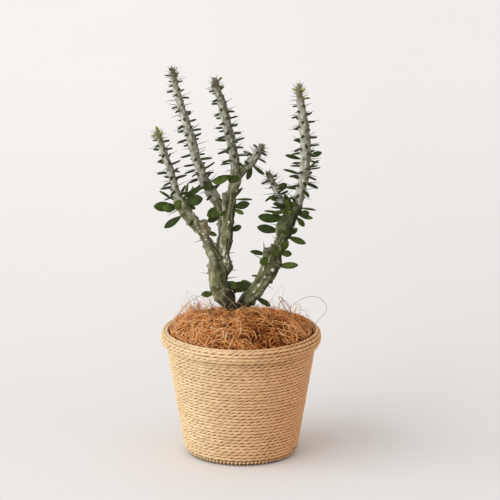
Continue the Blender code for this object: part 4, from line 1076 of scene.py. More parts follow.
# Thin strands placed by the photograph: half thickness in mm, tone, and column, row and depth of each point
STRAY_FIBRES = (
    (0.34, 0.1, ((171, 334, -12), (172.5, 326, -12), (176, 318, -10), (182, 309.5, -8), (190, 302, -6),
                 (198, 296.5, -4), (205, 296, -2), (210, 301, 0), (212, 312, 2))),
    (0.42, 0.0, ((291, 318, -30), (287.5, 311, -26), (282, 303, -22), (278.5, 297.5, -20), (280, 296.5, -20),
                 (285, 302, -22), (290, 309, -26), (291, 314, -28))),
    (0.26, 0.15, ((286, 312, -14), (292, 306, -12), (300, 300, -10), (308, 297, -8), (318, 297.5, -6),
                  (325, 302.5, -6), (326.5, 310, -8), (320, 319, -12), (313, 328, -18))),
    (0.17, 0.9, ((209, 304, -10), (212, 299, -13), (217, 293.5, -15), (222, 290, -15), (227, 288.8, -14),
                 (232, 290.5, -9), (236, 297, -2), (238, 306, 4))),
    (0.14, 0.9, ((221, 291, -15), (225, 295.5, -17), (230, 300, -17), (234, 304, -17), (239, 312, -18))),
    (0.16, 1.0, ((226, 312, -22), (224, 304, -20), (219, 298.5, -17), (212, 297, -14), (206, 303, -12),
                 (203, 311, -10))),
    (0.15, 0.8, ((228, 308, -22), (231, 303.5, -20), (236, 302, -18), (241, 304.5, -18), (244, 310, -20))),
    (0.16, 0.5, ((262, 316, 4), (270, 302, 8), (280, 288, 10), (283, 286, 10), (284, 290, 12), (281, 305, 16))),
    (0.15, 0.5, ((196, 316, -20), (190, 303, -20), (186, 293, -20), (188, 291, -18), (194, 300, -14),
                 (198, 312, -10))),
    (0.19, 0.3, ((291, 314, 0), (297, 310.5, 0), (305, 310.5, 0), (307, 314, 2), (308, 320, 4))),
)


def stray_fibres(finish):
    """Single long fibres that arch over the mound: curves through their points, as thin tubes."""
    solids, tones = [], []
    for index, (thick, tone, places) in enumerate(STRAY_FIBRES):
        points = [(*from_photo(*place), thick) for place in places]
        stem = smooth_path(points, 2.2)
        path = stem.points[:, :3]
        shake = np.stack([drift_along(stem.arc + 50 * axis, 9, index) for axis in range(3)], -1)
        rings = tube_rings((path + 0.5 * shake)[None], stem.points[None, :, 3], 5)
        solids.append(closed_tubes(rings))
        tones.append(np.full(len(solids[-1].points), tone))
    mesh = mesh_of("coir_stray", joined(solids), {"tone": np.concatenate(tones)})
    return placed("coir_stray", mesh, finish, ["coir_mat"])


def coir_tufts(finish):
    """Fuzzy clumps that stand up from the mound, each at (x, y) with its spread and height in mm."""
    draw = np.random.default_rng(8)
    steps = 10
    share = np.linspace(0, 1, steps)
    spots = np.array([
        (-61, 14, 10, 20), (-52, 30, 8, 14), (-30, 10, 12, 14), (38, 30, 14, 7), (66, 14, 10, 9),
        (-20, -14, 9, 14), (-2, -16, 9, 12), (18, -6, 9, 11), (-2, 14, 20, 13), (34, 44, 20, 12), (-75, 20, 8, 10),
        (-44, 4, 12, 17), (-68, 4, 12, 30), (-44, 34, 14, 28), (50, 34, 16, 26), (74, 2, 9, 24), (8, 46, 22, 24),
        (-78, -14, 8, 22),
    ])
    counts = (66, 36, 32, 58, 84, 42, 48, 40, 70, 66, 56, 30, 20, 16, 18, 16, 12, 12)
    pick = np.repeat(np.arange(len(spots)), counts)
    count = len(pick)
    centre = spots[pick]
    x, y, heading = curled(draw, count, steps, (10, 32), 3.4)
    x = x + (centre[:, 0] + draw.normal(0, 0.6, count) * centre[:, 2])[:, None]
    y = y + (centre[:, 1] + draw.normal(0, 0.6, count) * centre[:, 2])[:, None]
    out = np.hypot(x, y)
    inward = np.minimum(1, 86 / out)
    x, y, out = x * inward, y * inward, out * inward
    rise = draw.uniform(0.2, 1, count)[:, None] ** 1.4 * centre[:, 3:4]
    z = coir_height(x, y) - 1.5 + rise * np.sin(math.pi * np.clip(share * 1.05, 0, 1)) ** 0.8
    z = z + 0.7 * np.sin(draw.uniform(3, 8, count)[:, None] * share + heading)
    thick = draw.uniform(0.14, 0.28, count)
    rings = tube_rings(np.stack([x, y, z], -1), thick[:, None] * np.ones(steps), 3)
    tone = np.broadcast_to(draw.uniform(-1.0, 2.0, count)[:, None, None], rings.shape[:3])
    mesh = mesh_of("coir_tufts", closed_tubes(rings), {"tone": spread(tone, rings)})
    return placed("coir_tufts", mesh, finish, ["coir_mat"])


def all_stems():
    """The arms and the shoots by name, as paths in mm."""
    stems = {"left": smooth_path(LEFT_ARM, 1.0), "middle": smooth_path(MIDDLE_ARM, 1.0),
             "right": smooth_path(RIGHT_ARM, 1.0)}
    for node, (points, carrier) in SHOOTS.items():
        stems[node] = shoot_stem(points, carrier)
    return stems


def hoop(rings):
    """A closed ring-shaped solid from a closed profile turned round the middle."""
    count, steps, _ = rings.shape
    index = np.arange(count * steps).reshape(count, steps)
    ahead = np.roll(index, -1, 0)
    quads = np.stack([index, np.roll(index, -1, 1), np.roll(ahead, -1, 1), ahead], -1).reshape(-1, 4)
    return Solid(rings.reshape(-1, 3), quads, np.empty((0, 3), int))


def open_disc(solid, columns):
    """A turned disc without the fan of its outer end."""
    return Solid(solid.points, solid.quads, solid.triangles[:columns])


# Finishes


def add(tree, kind, values=None, **settings):
    """A node with its settings, and its inputs set to values or joined to other nodes' outputs."""
    made = tree.nodes.new(kind)
    for key, value in settings.items():
        setattr(made, key, value)
    for key, value in (values or {}).items():
        if isinstance(value, bpy.types.NodeSocket):
            tree.links.new(value, made.inputs[key])
        else:
            made.inputs[key].default_value = value
    return made


def maths(tree, operation, *values, clamp=False):
    made = add(tree, "ShaderNodeMath", dict(enumerate(values)), operation=operation, use_clamp=clamp)
    return made.outputs[0]


def spanned(tree, value, low, high, to_low=0.0, to_high=1.0):
    """The value's range from low to high, stretched over a new range and held at its ends."""
    made = add(tree, "ShaderNodeMapRange", {
        "Value": value, "From Min": low, "From Max": high, "To Min": to_low, "To Max": to_high,
    })
    return made.outputs["Result"]


def mixed(tree, share, first, second, blend="MIX"):
    """Two colours mixed by a share."""
    made = tree.nodes.new("ShaderNodeMix")
    made.data_type = "RGBA"
    made.blend_type = blend
    for index, value in ((0, share), (6, first), (7, second)):
        if isinstance(value, bpy.types.NodeSocket):
            tree.links.new(value, made.inputs[index])
        else:
            made.inputs[index].default_value = value if index == 0 else (*tuple(value)[:3], 1.0)
    return made.outputs[2]


def attribute(tree, name, vector=False):
    made = add(tree, "ShaderNodeAttribute", attribute_name=name)
    return made.outputs["Vector" if vector else "Fac"]


def object_point(tree):
    return add(tree, "ShaderNodeTexCoord").outputs["Object"]


def stretched(tree, point, scale):
    return add(tree, "ShaderNodeMapping", {"Vector": point, "Scale": scale}).outputs["Vector"]


def group_tree(name, inputs, outputs):
    """An empty shader node group with its named inputs and outputs."""
    tree = bpy.data.node_groups.new(name, "ShaderNodeTree")
    for label, kind, default in inputs:
        socket = tree.interface.new_socket(label, in_out="INPUT", socket_type=kind)
        if default is not None:
            socket.default_value = default
    for label, kind in outputs:
        tree.interface.new_socket(label, in_out="OUTPUT", socket_type=kind)
    return tree, tree.nodes.new("NodeGroupInput"), tree.nodes.new("NodeGroupOutput")


def mottle_group():
    """Soft noise in two sizes: Coarse and Fine, each from 0 to 1."""
    tree, given, put_out = group_tree(
        "Mottle",
        [("Vector", "NodeSocketVector", None), ("Coarse Scale", "NodeSocketFloat", 30.0),
         ("Fine Scale", "NodeSocketFloat", 300.0)],
        [("Coarse", "NodeSocketFloat"), ("Fine", "NodeSocketFloat")],
    )
    for size, label in (("Coarse Scale", "Coarse"), ("Fine Scale", "Fine")):
        noise = add(tree, "ShaderNodeTexNoise", {
            "Vector": given.outputs["Vector"], "Scale": given.outputs[size], "Detail": 3.0, "Roughness": 0.6,
        })
        tree.links.new(spanned(tree, noise.outputs["Fac"], 0.3, 0.7), put_out.inputs[label])
    return tree


def speck_group():
    """Small scattered dots: a mask that is 1 in a dot, with dots in a share of the cells."""
    tree, given, put_out = group_tree(
        "Specks",
        [("Vector", "NodeSocketVector", None), ("Scale", "NodeSocketFloat", 400.0),
         ("Share", "NodeSocketFloat", 0.3), ("Size", "NodeSocketFloat", 0.35)],
        [("Mask", "NodeSocketFloat")],
    )
    cells = add(tree, "ShaderNodeTexVoronoi", {"Vector": given.outputs["Vector"], "Scale": given.outputs["Scale"]})
    near = maths(tree, "SUBTRACT", given.outputs["Size"], cells.outputs["Distance"])
    dot = maths(tree, "MULTIPLY", near, 8.0, clamp=True)
    chance = add(tree, "ShaderNodeSeparateColor", {"Color": cells.outputs["Color"]}).outputs[0]
    chosen = maths(tree, "LESS_THAN", chance, given.outputs["Share"])
    tree.links.new(maths(tree, "MULTIPLY", dot, chosen), put_out.inputs["Mask"])
    return tree


def placed_group(tree, group, values):
    made = tree.nodes.new("ShaderNodeGroup")
    made.node_tree = bpy.data.node_groups[group]
    for key, value in values.items():
        if isinstance(value, bpy.types.NodeSocket):
            tree.links.new(value, made.inputs[key])
        else:
            made.inputs[key].default_value = value
    return made.outputs


def new_finish(name, roughness, specular=0.5):
    made = bpy.data.materials.new(name)
    made.use_nodes = True
    tree = made.node_tree
    shader = tree.nodes["Principled BSDF"]
    shader.inputs["Roughness"].default_value = roughness
    shader.inputs["Metallic"].default_value = 0.0
    shader.inputs["Specular IOR Level"].default_value = specular
    return made, tree, shader


def shade(tree, shader, colour, roughness=None, height=None, strength=0.5, distance=0.0005):
    """Joins a colour, and where given a roughness and a bump height, to the shader."""
    tree.links.new(colour, shader.inputs["Base Color"])
    if roughness is not None:
        tree.links.new(roughness, shader.inputs["Roughness"])
    if height is not None:
        bump = add(tree, "ShaderNodeBump", {"Strength": strength, "Distance": distance, "Height": height})
        tree.links.new(bump.outputs["Normal"], shader.inputs["Normal"])


def cord_finish(name, light, dark, painted_shade_right, shallow, deep, beat=0.0):
    """Twisted paper cord: fine fibres along the plies, darker grooves and a tone for each ply.

    It is painted browner and darker on the right, as shade away from the side light. The grooves, and the
    gaps between its rows most on the right, are darkened as painted shade. Where a beat is given, painted
    shade shows as dark gaps that many mm apart between its rows.
    """
    made, tree, shader = new_finish(name, 0.82, 0.2)
    strand = attribute(tree, "strand", vector=True)
    groove = attribute(tree, "groove")
    tone = attribute(tree, "tone")
    fibres = add(tree, "ShaderNodeTexNoise", {
        "Vector": stretched(tree, strand, (0.12, 1.0, 1.0)), "Scale": 1.3, "Detail": 4.0, "Roughness": 0.65,
    }).outputs["Fac"]
    point = object_point(tree)
    patch = placed_group(tree, "Mottle", {"Vector": point, "Coarse Scale": 26.0, "Fine Scale": 190.0})
    share = maths(tree, "ADD", spanned(tree, tone, -0.8, 0.8, 0.0, 0.7), spanned(tree, fibres, 0.3, 0.7, -0.2, 0.35))
    share = maths(tree, "ADD", share, spanned(tree, patch["Coarse"], 0.0, 1.0, -0.12, 0.12), clamp=True)
    colour = mixed(tree, share, dark, light)
    fleck = spanned(tree, patch["Fine"], 0.85, 1.0, 0.0, 0.3)
    colour = mixed(tree, fleck, colour, (0.42, 0.22, 0.09))
    chance = add(tree, "ShaderNodeTexNoise", {"Vector": strand, "Scale": 0.11, "Detail": 1.0}).outputs["Fac"]
    side = add(tree, "ShaderNodeSeparateXYZ", {"Vector": point}).outputs["X"]
    # Painted shade: browner and darker towards the right, away from the side light.
    colour = mixed(tree, spanned(tree, side, -0.055, 0.055), colour, painted_shade_right, "MULTIPLY")
    # Painted shade in the grooves between the plies.
    sunk = maths(tree, "MULTIPLY", groove, spanned(tree, chance, 0.42, 0.68, shallow, deep))
    colour = mixed(tree, sunk, colour, (0.15, 0.055, 0.02))
    # Painted shade in the gaps between the rows, stronger towards the right.
    between = maths(tree, "MULTIPLY", attribute(tree, "gap"), spanned(tree, side, -0.03, 0.06, 0.0, 0.5))
    colour = mixed(tree, between, colour, (0.28, 0.12, 0.045))
    # Painted shade: dark dashes in the gaps between the foot's rows, one each beat.
    if beat:
        run = add(tree, "ShaderNodeSeparateXYZ", {"Vector": strand}).outputs["X"]
        wave = spanned(tree, maths(tree, "SINE", maths(tree, "MULTIPLY", run, TAU / beat)), -0.2, 0.3)
        gaps = maths(tree, "MULTIPLY", spanned(tree, attribute(tree, "gap"), 0.05, 0.5), wave)
        colour = mixed(tree, maths(tree, "MULTIPLY", gaps, 0.9), colour, (0.09, 0.03, 0.014))
    shade(tree, shader, colour, height=fibres, strength=0.5, distance=0.0004)
    return made


def core_finish():
    made, tree, shader = new_finish("cord_shade", 0.9, 0.2)
    patch = placed_group(tree, "Mottle", {"Vector": object_point(tree), "Coarse Scale": 60.0, "Fine Scale": 500.0})
    colour = mixed(tree, patch["Coarse"], (0.13, 0.06, 0.022), (0.26, 0.14, 0.06))
    shade(tree, shader, colour, height=patch["Fine"], strength=0.4)
    return made


def coir_finish(light, mid, dark):
    """Coconut fibre: orange-brown, darker where it lies deep, paler on single raised fibres. These tones are partly
    painted shade and light.
    """
    made, tree, shader = new_finish("coconut_fibre", 0.8, 0.15)
    tone = attribute(tree, "tone")
    patch = placed_group(tree, "Mottle", {"Vector": object_point(tree), "Coarse Scale": 22.0, "Fine Scale": 260.0})
    value = maths(tree, "ADD", tone, spanned(tree, patch["Coarse"], 0.0, 1.0, -0.35, 0.35))
    value = maths(tree, "ADD", value, spanned(tree, patch["Fine"], 0.0, 1.0, -0.15, 0.15))
    low = mixed(tree, spanned(tree, value, -1.0, 0.0), dark, mid)
    colour = mixed(tree, spanned(tree, value, 0.0, 1.2), low, light)
    colour = mixed(tree, spanned(tree, value, 1.2, 2.2, 0.0, 0.8), colour, (0.86, 0.61, 0.33))
    shade(tree, shader, colour, height=patch["Fine"], strength=0.3, distance=0.0003)
    return made


def stray_finish():
    """Single long fibres: grey-brown ones and pale straw ones."""
    made, tree, shader = new_finish("stray_fibre", 0.7, 0.2)
    patch = placed_group(tree, "Mottle", {"Vector": object_point(tree), "Coarse Scale": 60.0, "Fine Scale": 500.0})
    value = maths(tree, "ADD", attribute(tree, "tone"), spanned(tree, patch["Coarse"], 0.0, 1.0, -0.15, 0.15))
    colour = mixed(tree, spanned(tree, value, 0.0, 1.0), (0.13, 0.085, 0.065), (0.72, 0.52, 0.33))
    shade(tree, shader, colour, height=patch["Fine"], strength=0.2, distance=0.0002)
    return made


def bark_finish(green, brown, pale):
    """Grey-green bark: brown lengthwise furrows, pale crests, scars and specks, and cut faces.

    It is nearly black where it enters the fibre, and pales to the shoots' colour towards its upper ends.
    Light and shade are painted on it: it is lighter where it faces the window and darker where it faces
    away, its pale crests are partly a painted highlight, painted shade darkens the middle and right arms,
    and painted shadows fall on the right arm under its leaves and low on the trunk between the arms.
    """
    made, tree, shader = new_finish("woody_bark", 0.78, 0.18)
    point = object_point(tree)
    patch = placed_group(tree, "Mottle", {"Vector": point, "Coarse Scale": 48.0, "Fine Scale": 420.0})
    blotch = placed_group(tree, "Mottle", {"Vector": point, "Coarse Scale": 130.0, "Fine Scale": 230.0})
    streak = placed_group(tree, "Mottle", {
        "Vector": stretched(tree, point, (1.0, 1.0, 0.28)), "Coarse Scale": 230.0, "Fine Scale": 900.0,
    })
    specks = placed_group(tree, "Specks", {"Vector": point, "Scale": 300.0, "Share": 0.4, "Size": 0.42})
    grain = attribute(tree, "grain")
    ridge = attribute(tree, "rib")
    height = add(tree, "ShaderNodeSeparateXYZ", {"Vector": point}).outputs["Z"]
    upper = spanned(tree, height, 0.275, 0.343)
    colour = mixed(tree, patch["Coarse"], green, brown)
    colour = mixed(tree, spanned(tree, blotch["Coarse"], 0.5, 0.9, 0.0, 0.7), colour, pale)
    colour = mixed(tree, maths(tree, "MULTIPLY", upper, 0.85), colour, (0.27, 0.265, 0.18))
    colour = mixed(tree, spanned(tree, streak["Coarse"], 0.35, 0.85, 0.0, 0.75), colour, (0.045, 0.05, 0.015))
    # Painted light and shade: lit and shaded copies of the colour, mixed by how far the bark faces the window.
    sunny = attribute(tree, "sunny")
    shady = mixed(tree, 1.0, colour, (0.48, 0.49, 0.36), "MULTIPLY")
    colour = mixed(tree, sunny, shady, mixed(tree, 0.40, colour, (0.44, 0.42, 0.24)))
    # Pale crests, partly a painted highlight that is strongest where the bark faces the window.
    crest = maths(tree, "MULTIPLY", spanned(tree, ridge, 0.4, 0.9), spanned(tree, blotch["Fine"], 0.15, 0.7))
    crest = maths(tree, "MULTIPLY", crest, spanned(tree, sunny, 0.0, 1.0, 0.3, 0.95))
    colour = mixed(tree, crest, colour, (0.58, 0.56, 0.42))
    colour = mixed(tree, spanned(tree, grain, -0.2, -0.8, 0.0, 0.8), colour, (0.028, 0.024, 0.01))
    knots = maths(tree, "MULTIPLY", attribute(tree, "eye"), spanned(tree, patch["Fine"], 0.3, 0.9), clamp=True)
    colour = mixed(tree, maths(tree, "MULTIPLY", knots, 0.6), colour, (0.36, 0.34, 0.25))
    zone = spanned(tree, attribute(tree, "lump"), 0.15, 0.5, 0.0, 0.9)
    zone = maths(tree, "MULTIPLY", zone, spanned(tree, blotch["Coarse"], 0.4, 0.7))
    colour = mixed(tree, maths(tree, "MULTIPLY", specks["Mask"], zone), colour, (0.55, 0.54, 0.45))
    colour = mixed(tree, maths(tree, "MULTIPLY", attribute(tree, "warm"), 0.5), colour, (0.21, 0.165, 0.095))
    across = add(tree, "ShaderNodeSeparateXYZ", {"Vector": point}).outputs["X"]
    # Painted shade on the middle and right arms, below the shoots.
    arm_shade = maths(tree, "MULTIPLY", spanned(tree, across, -0.032, -0.014), spanned(tree, height, 0.335, 0.29))
    colour = mixed(tree, arm_shade, colour, (0.80, 0.86, 0.74), "MULTIPLY")
    # Painted shadow of the leaves on the right arm, darkest in its upper part.
    under = maths(tree, "MULTIPLY", spanned(tree, across, 0.032, 0.042), spanned(tree, height, 0.266, 0.278))
    under = maths(tree, "MULTIPLY", under, spanned(tree, height, 0.318, 0.310))
    colour = mixed(tree, under, colour, (0.66, 0.68, 0.62), "MULTIPLY")
    under = maths(tree, "MULTIPLY", under, spanned(tree, height, 0.290, 0.298))
    colour = mixed(tree, under, colour, (0.52, 0.54, 0.44), "MULTIPLY")
    # Painted shadow on the right side of the lower trunk, between the arms, nearly black.
    shadow_between_arms = maths(tree, "MULTIPLY", spanned(tree, across, -0.024, -0.014), spanned(tree, height, 0.230, 0.216))
    shadow_between_arms = maths(tree, "MULTIPLY", shadow_between_arms, spanned(tree, across, 0.006, -0.002))
    colour = mixed(tree, maths(tree, "MULTIPLY", shadow_between_arms, 0.85), colour, (0.024, 0.023, 0.010))
    colour = mixed(tree, spanned(tree, height, 0.200, 0.184, 0.0, 0.6), colour, (0.045, 0.04, 0.02))
    wool = maths(tree, "MULTIPLY", attribute(tree, "scar"), spanned(tree, patch["Fine"], 0.15, 0.6), clamp=True)
    colour = mixed(tree, spanned(tree, wool, 0.2, 0.52, 0.0, 0.9), colour, (0.76, 0.74, 0.61))
    cut_face = mixed(tree, patch["Fine"], (0.09, 0.08, 0.05), (0.27, 0.245, 0.175))
    colour = mixed(tree, attribute(tree, "cut"), colour, cut_face)
    rough = spanned(tree, patch["Fine"], 0.0, 1.0, 0.6, 0.88)
    rise = maths(tree, "ADD", streak["Fine"], maths(tree, "MULTIPLY", specks["Mask"], 0.6))
    shade(tree, shader, colour, rough, rise, 0.6, 0.0006)
    return made


def skin_finish(green, pale):
    """Leafy stems: mottled grey-green skin, whitish rib crests, and dark hollows under the areoles."""
    made, tree, shader = new_finish("shoot_skin", 0.68, 0.2)
    point = object_point(tree)
    patch = placed_group(tree, "Mottle", {"Vector": point, "Coarse Scale": 70.0, "Fine Scale": 520.0})
    specks = placed_group(tree, "Specks", {"Vector": point, "Scale": 520.0, "Share": 0.35, "Size": 0.4})
    blotch = placed_group(tree, "Mottle", {"Vector": point, "Coarse Scale": 190.0, "Fine Scale": 320.0})
    streak = placed_group(tree, "Mottle", {
        "Vector": stretched(tree, point, (1.0, 1.0, 0.3)), "Coarse Scale": 330.0, "Fine Scale": 480.0,
    })
    young = attribute(tree, "young")
    rib = attribute(tree, "rib")
    crest = maths(tree, "ADD", rib, spanned(tree, patch["Coarse"], 0.0, 1.0, -0.35, 0.25))
    sunny = attribute(tree, "sunny")
    colour = mixed(tree, spanned(tree, blotch["Coarse"], 0.3, 0.8, 0.0, 0.75), green, (0.08, 0.08, 0.045))
    colour = mixed(tree, spanned(tree, crest, 0.0, 1.1, 0.0, 0.75), colour, pale)
    colour = mixed(tree, spanned(tree, blotch["Fine"], 0.5, 0.85, 0.0, 0.65), colour, (0.68, 0.67, 0.60))
    colour = mixed(tree, maths(tree, "MULTIPLY", attribute(tree, "pale"), 0.5), colour, (0.66, 0.64, 0.53))
    colour = mixed(tree, spanned(tree, streak["Coarse"], 0.4, 0.9, 0.0, 0.6), colour, (0.15, 0.145, 0.10))
    colour = mixed(tree, spanned(tree, streak["Fine"], 0.55, 0.9, 0.0, 0.65), colour, (0.82, 0.80, 0.72))
    # Painted light and shade: lit and shaded copies of the colour, mixed by how far the skin faces the window.
    shady = mixed(tree, 1.0, colour, (0.37, 0.365, 0.325), "MULTIPLY")
    colour = mixed(tree, sunny, shady, mixed(tree, 0.2, colour, (0.84, 0.81, 0.72)))
    valley = maths(tree, "MULTIPLY", spanned(tree, crest, 0.25, -0.2), spanned(tree, patch["Fine"], 0.2, 0.7, 0.3, 0.75))
    colour = mixed(tree, valley, colour, (0.10, 0.105, 0.06))
    colour = mixed(tree, maths(tree, "MULTIPLY", specks["Mask"], 0.5), colour, (0.55, 0.53, 0.46))
    colour = mixed(tree, spanned(tree, attribute(tree, "eye"), 0.2, 0.8, 0.0, 0.85), colour, (0.04, 0.038, 0.02))
    colour = mixed(tree, spanned(tree, young, 0.84, 0.97, 0.0, 0.7), colour, (0.13, 0.095, 0.055))
    shade(tree, shader, colour, spanned(tree, patch["Fine"], 0.0, 1.0, 0.5, 0.8), patch["Fine"], 0.35, 0.0004)
    return made


def leaf_finish(name, green, light, young_green):
    """Fleshy leaves: dark waxy green, lighter patches, a darker edge, and fresh ones yellow-green."""
    made, tree, shader = new_finish(name, 0.5, 0.16)
    point = object_point(tree)
    patch = placed_group(tree, "Mottle", {"Vector": point, "Coarse Scale": 120.0, "Fine Scale": 900.0})
    shade_value = attribute(tree, "shade")
    fore = attribute(tree, "fore")
    middle = maths(tree, "MULTIPLY", patch["Coarse"], spanned(tree, shade_value, -1.0, 1.0, 0.1, 1.3))
    colour = mixed(tree, middle, green, light)
    colour = mixed(tree, spanned(tree, fore, 0.25, 0.0, 0.0, 0.5), colour, (0.10, 0.11, 0.04))
    colour = mixed(tree, spanned(tree, attribute(tree, "edge"), 0.5, 1.0, 0.0, 0.6), colour, (0.022, 0.034, 0.010))
    colour = mixed(tree, attribute(tree, "fresh"), colour, young_green)
    shade(tree, shader, colour, spanned(tree, patch["Fine"], 0.0, 1.0, 0.42, 0.6), patch["Fine"], 0.15, 0.0003)
    return made


def spine_finish():
    """Woody needles: grey-brown at the foot, silvery along their length and dark at the point."""
    made, tree, shader = new_finish("spine", 0.5, 0.4)
    patch = placed_group(tree, "Mottle", {"Vector": object_point(tree), "Coarse Scale": 200.0, "Fine Scale": 1200.0})
    fore = attribute(tree, "fore")
    colour = mixed(tree, patch["Coarse"], (0.15, 0.145, 0.12), (0.30, 0.29, 0.26))
    colour = mixed(tree, spanned(tree, fore, 0.3, 0.0, 0.0, 0.7), colour, (0.16, 0.14, 0.09))
    colour = mixed(tree, spanned(tree, fore, 0.75, 1.0, 0.0, 0.6), colour, (0.16, 0.12, 0.09))
    shade(tree, shader, colour, height=patch["Fine"], strength=0.2, distance=0.0002)
    return made


def shell_finish():
    """Moulded brown shell: a fine satin grain and faint turning marks."""
    made, tree, shader = new_finish("moulded_shell", 0.6, 0.4)
    point = object_point(tree)
    patch = placed_group(tree, "Mottle", {"Vector": point, "Coarse Scale": 40.0, "Fine Scale": 900.0})
    rings = placed_group(tree, "Mottle", {
        "Vector": stretched(tree, point, (0.05, 0.05, 1.0)), "Coarse Scale": 500.0, "Fine Scale": 1500.0,
    })
    colour = mixed(tree, patch["Coarse"], (0.15, 0.085, 0.04), (0.22, 0.13, 0.065))
    rise = maths(tree, "ADD", patch["Fine"], rings["Coarse"])
    shade(tree, shader, colour, spanned(tree, patch["Fine"], 0.0, 1.0, 0.5, 0.7), rise, 0.3, 0.0003)
    return made


def nursery_finish():
    """Thin black nursery plastic: streaked and a little dusty."""
    made, tree, shader = new_finish("black_plastic", 0.45, 0.5)
    point = object_point(tree)
    patch = placed_group(tree, "Mottle", {"Vector": point, "Coarse Scale": 30.0, "Fine Scale": 700.0})
    dust = placed_group(tree, "Specks", {"Vector": point, "Scale": 500.0, "Share": 0.15, "Size": 0.3})
    colour = mixed(tree, patch["Coarse"], (0.012, 0.012, 0.012), (0.03, 0.028, 0.026))
    colour = mixed(tree, maths(tree, "MULTIPLY", dust["Mask"], 0.3), colour, (0.12, 0.09, 0.06))
    shade(tree, shader, colour, spanned(tree, patch["Coarse"], 0.0, 1.0, 0.35, 0.6), patch["Fine"], 0.2, 0.0003)
    return made


def soil_finish():
    """Bark and peat mix: dark crumbs with pale grit."""
    made, tree, shader = new_finish("potting_mix", 0.95, 0.2)
    point = object_point(tree)
    patch = placed_group(tree, "Mottle", {"Vector": point, "Coarse Scale": 90.0, "Fine Scale": 500.0})
    grit = placed_group(tree, "Specks", {"Vector": point, "Scale": 240.0, "Share": 0.12, "Size": 0.35})
    colour = mixed(tree, patch["Fine"], (0.02, 0.012, 0.008), (0.09, 0.055, 0.03))
    colour = mixed(tree, grit["Mask"], colour, (0.5, 0.46, 0.4))
    shade(tree, shader, colour, height=patch["Coarse"], strength=0.9, distance=0.002)
    return made


def floor_finish(colour):
    """A plain pale floor with the faintest mottle, and painted light: a little whiter to the back and to the left.
    """
    made, tree, shader = new_finish("floor", 0.9, 0.1)
    point = object_point(tree)
    patch = placed_group(tree, "Mottle", {"Vector": point, "Coarse Scale": 3.0, "Fine Scale": 60.0})
    parts = add(tree, "ShaderNodeSeparateXYZ", {"Vector": point}).outputs
    # Painted light: a little whiter to the back and to the left.
    tint = mixed(tree, spanned(tree, parts["Y"], 0.3, 2.0), colour, (0.87, 0.85, 0.83))
    tint = mixed(tree, spanned(tree, parts["X"], -0.2, 0.25), tint, (0.94, 0.94, 0.94), "MULTIPLY")
    tint = mixed(tree, spanned(tree, patch["Coarse"], 0.0, 1.0, 0.0, 0.06), tint, (0.74, 0.72, 0.69))
    shade(tree, shader, tint)
    return made


def finish_named(name):
    made = bpy.data.materials.get(name)
    if made is None:
        raise RuntimeError(f"the finish {name} isn't made yet: mix the finishes first")
    return made


# Settings


def length_property(name, description, millimetres):
    return bpy.props.FloatProperty(
        name=name, description=description, default=millimetres * MM, min=0.00001, unit="LENGTH",
        subtype="DISTANCE", precision=5,
    )


def colour_property(name, description, colour):
    return bpy.props.FloatVectorProperty(
        name=name, description=description, default=colour, subtype="COLOR", size=3, min=0, max=1
    )


class CordSettings(bpy.types.PropertyGroup):
    """Sizes and colours of the basket's cord."""

    cord_diameter: length_property("Cord diameter", "Thickness of the twisted cord", 4.6)
    cord_pitch: length_property("Row pitch", "Distance between two rows of cord", 4.18)
    cord_lay: length_property("Lay", "Length of cord in which a ply turns once", 17.0)
    cord_step: length_property("Step", "Distance between two rings of the cord's mesh", 1.5)
    foot_lay: length_property("Foot lay", "The same length for the tighter cord at the foot", 9.8)
    light: colour_property("Light straw", "Colour of the lightest plies", (0.925, 0.70, 0.425))
    dark: colour_property("Dark straw", "Colour of the darkest plies", (0.70, 0.49, 0.27))
    # Painted shade: the cord's colour is multiplied by this towards the right, away from the side light.
    painted_shade_right: colour_property("Browner side", "What the colour is multiplied by on the right", (0.985, 0.78, 0.675))


class FibreSettings(bpy.types.PropertyGroup):
    """Number and colours of the coconut fibres."""

    light: colour_property("Raised fibres", "Colour of the palest fibres", (1.0, 0.53, 0.21))
    middle: colour_property("Fibres", "Colour of most fibres", (0.71, 0.235, 0.049))
    # The colour in the hollows is partly painted shade.
    dark: colour_property("Deep fibres", "Colour in the hollows", (0.12, 0.03, 0.008))


class PlantSettings(bpy.types.PropertyGroup):
    """Sizes and colours of the plant."""

    areole_step: length_property("Areole step", "Distance along a shoot between two areoles", 2.4)
    leaf_length: length_property("Leaf length", "Length of the lowest small leaves of a shoot", 16.0)
    leaf_thickness: length_property("Leaf thickness", "Thickness of a small leaf", 2.3)
    spine_length: length_property("Spine length", "Length of the longest spines", 16.5)
    spine_width: length_property("Spine width", "Thickness of a spine at its foot", 1.35)
    bark_voxel: length_property("Bark voxel", "Size of the cells that grow the arms together", 0.9)
    leaf: colour_property("Leaf", "Colour of the leaves", (0.019, 0.032, 0.005))
    leaf_light: colour_property("Leaf patches", "Colour of the leaves' lighter patches", (0.100, 0.142, 0.021))
    leaf_young: colour_property("Fresh leaf", "Colour of the leaves at the tips", (0.42, 0.43, 0.14))
    bark_green: colour_property("Green bark", "Colour of the trunk's greener bark", (0.092, 0.102, 0.029))
    bark_brown: colour_property("Brown bark", "Colour of the trunk's browner bark", (0.064, 0.060, 0.021))
    skin: colour_property("Shoot skin", "Colour of a shoot between its ribs", (0.20, 0.20, 0.13))
    crest: colour_property("Rib crests", "Colour of a shoot's rib crests", (0.68, 0.66, 0.58))


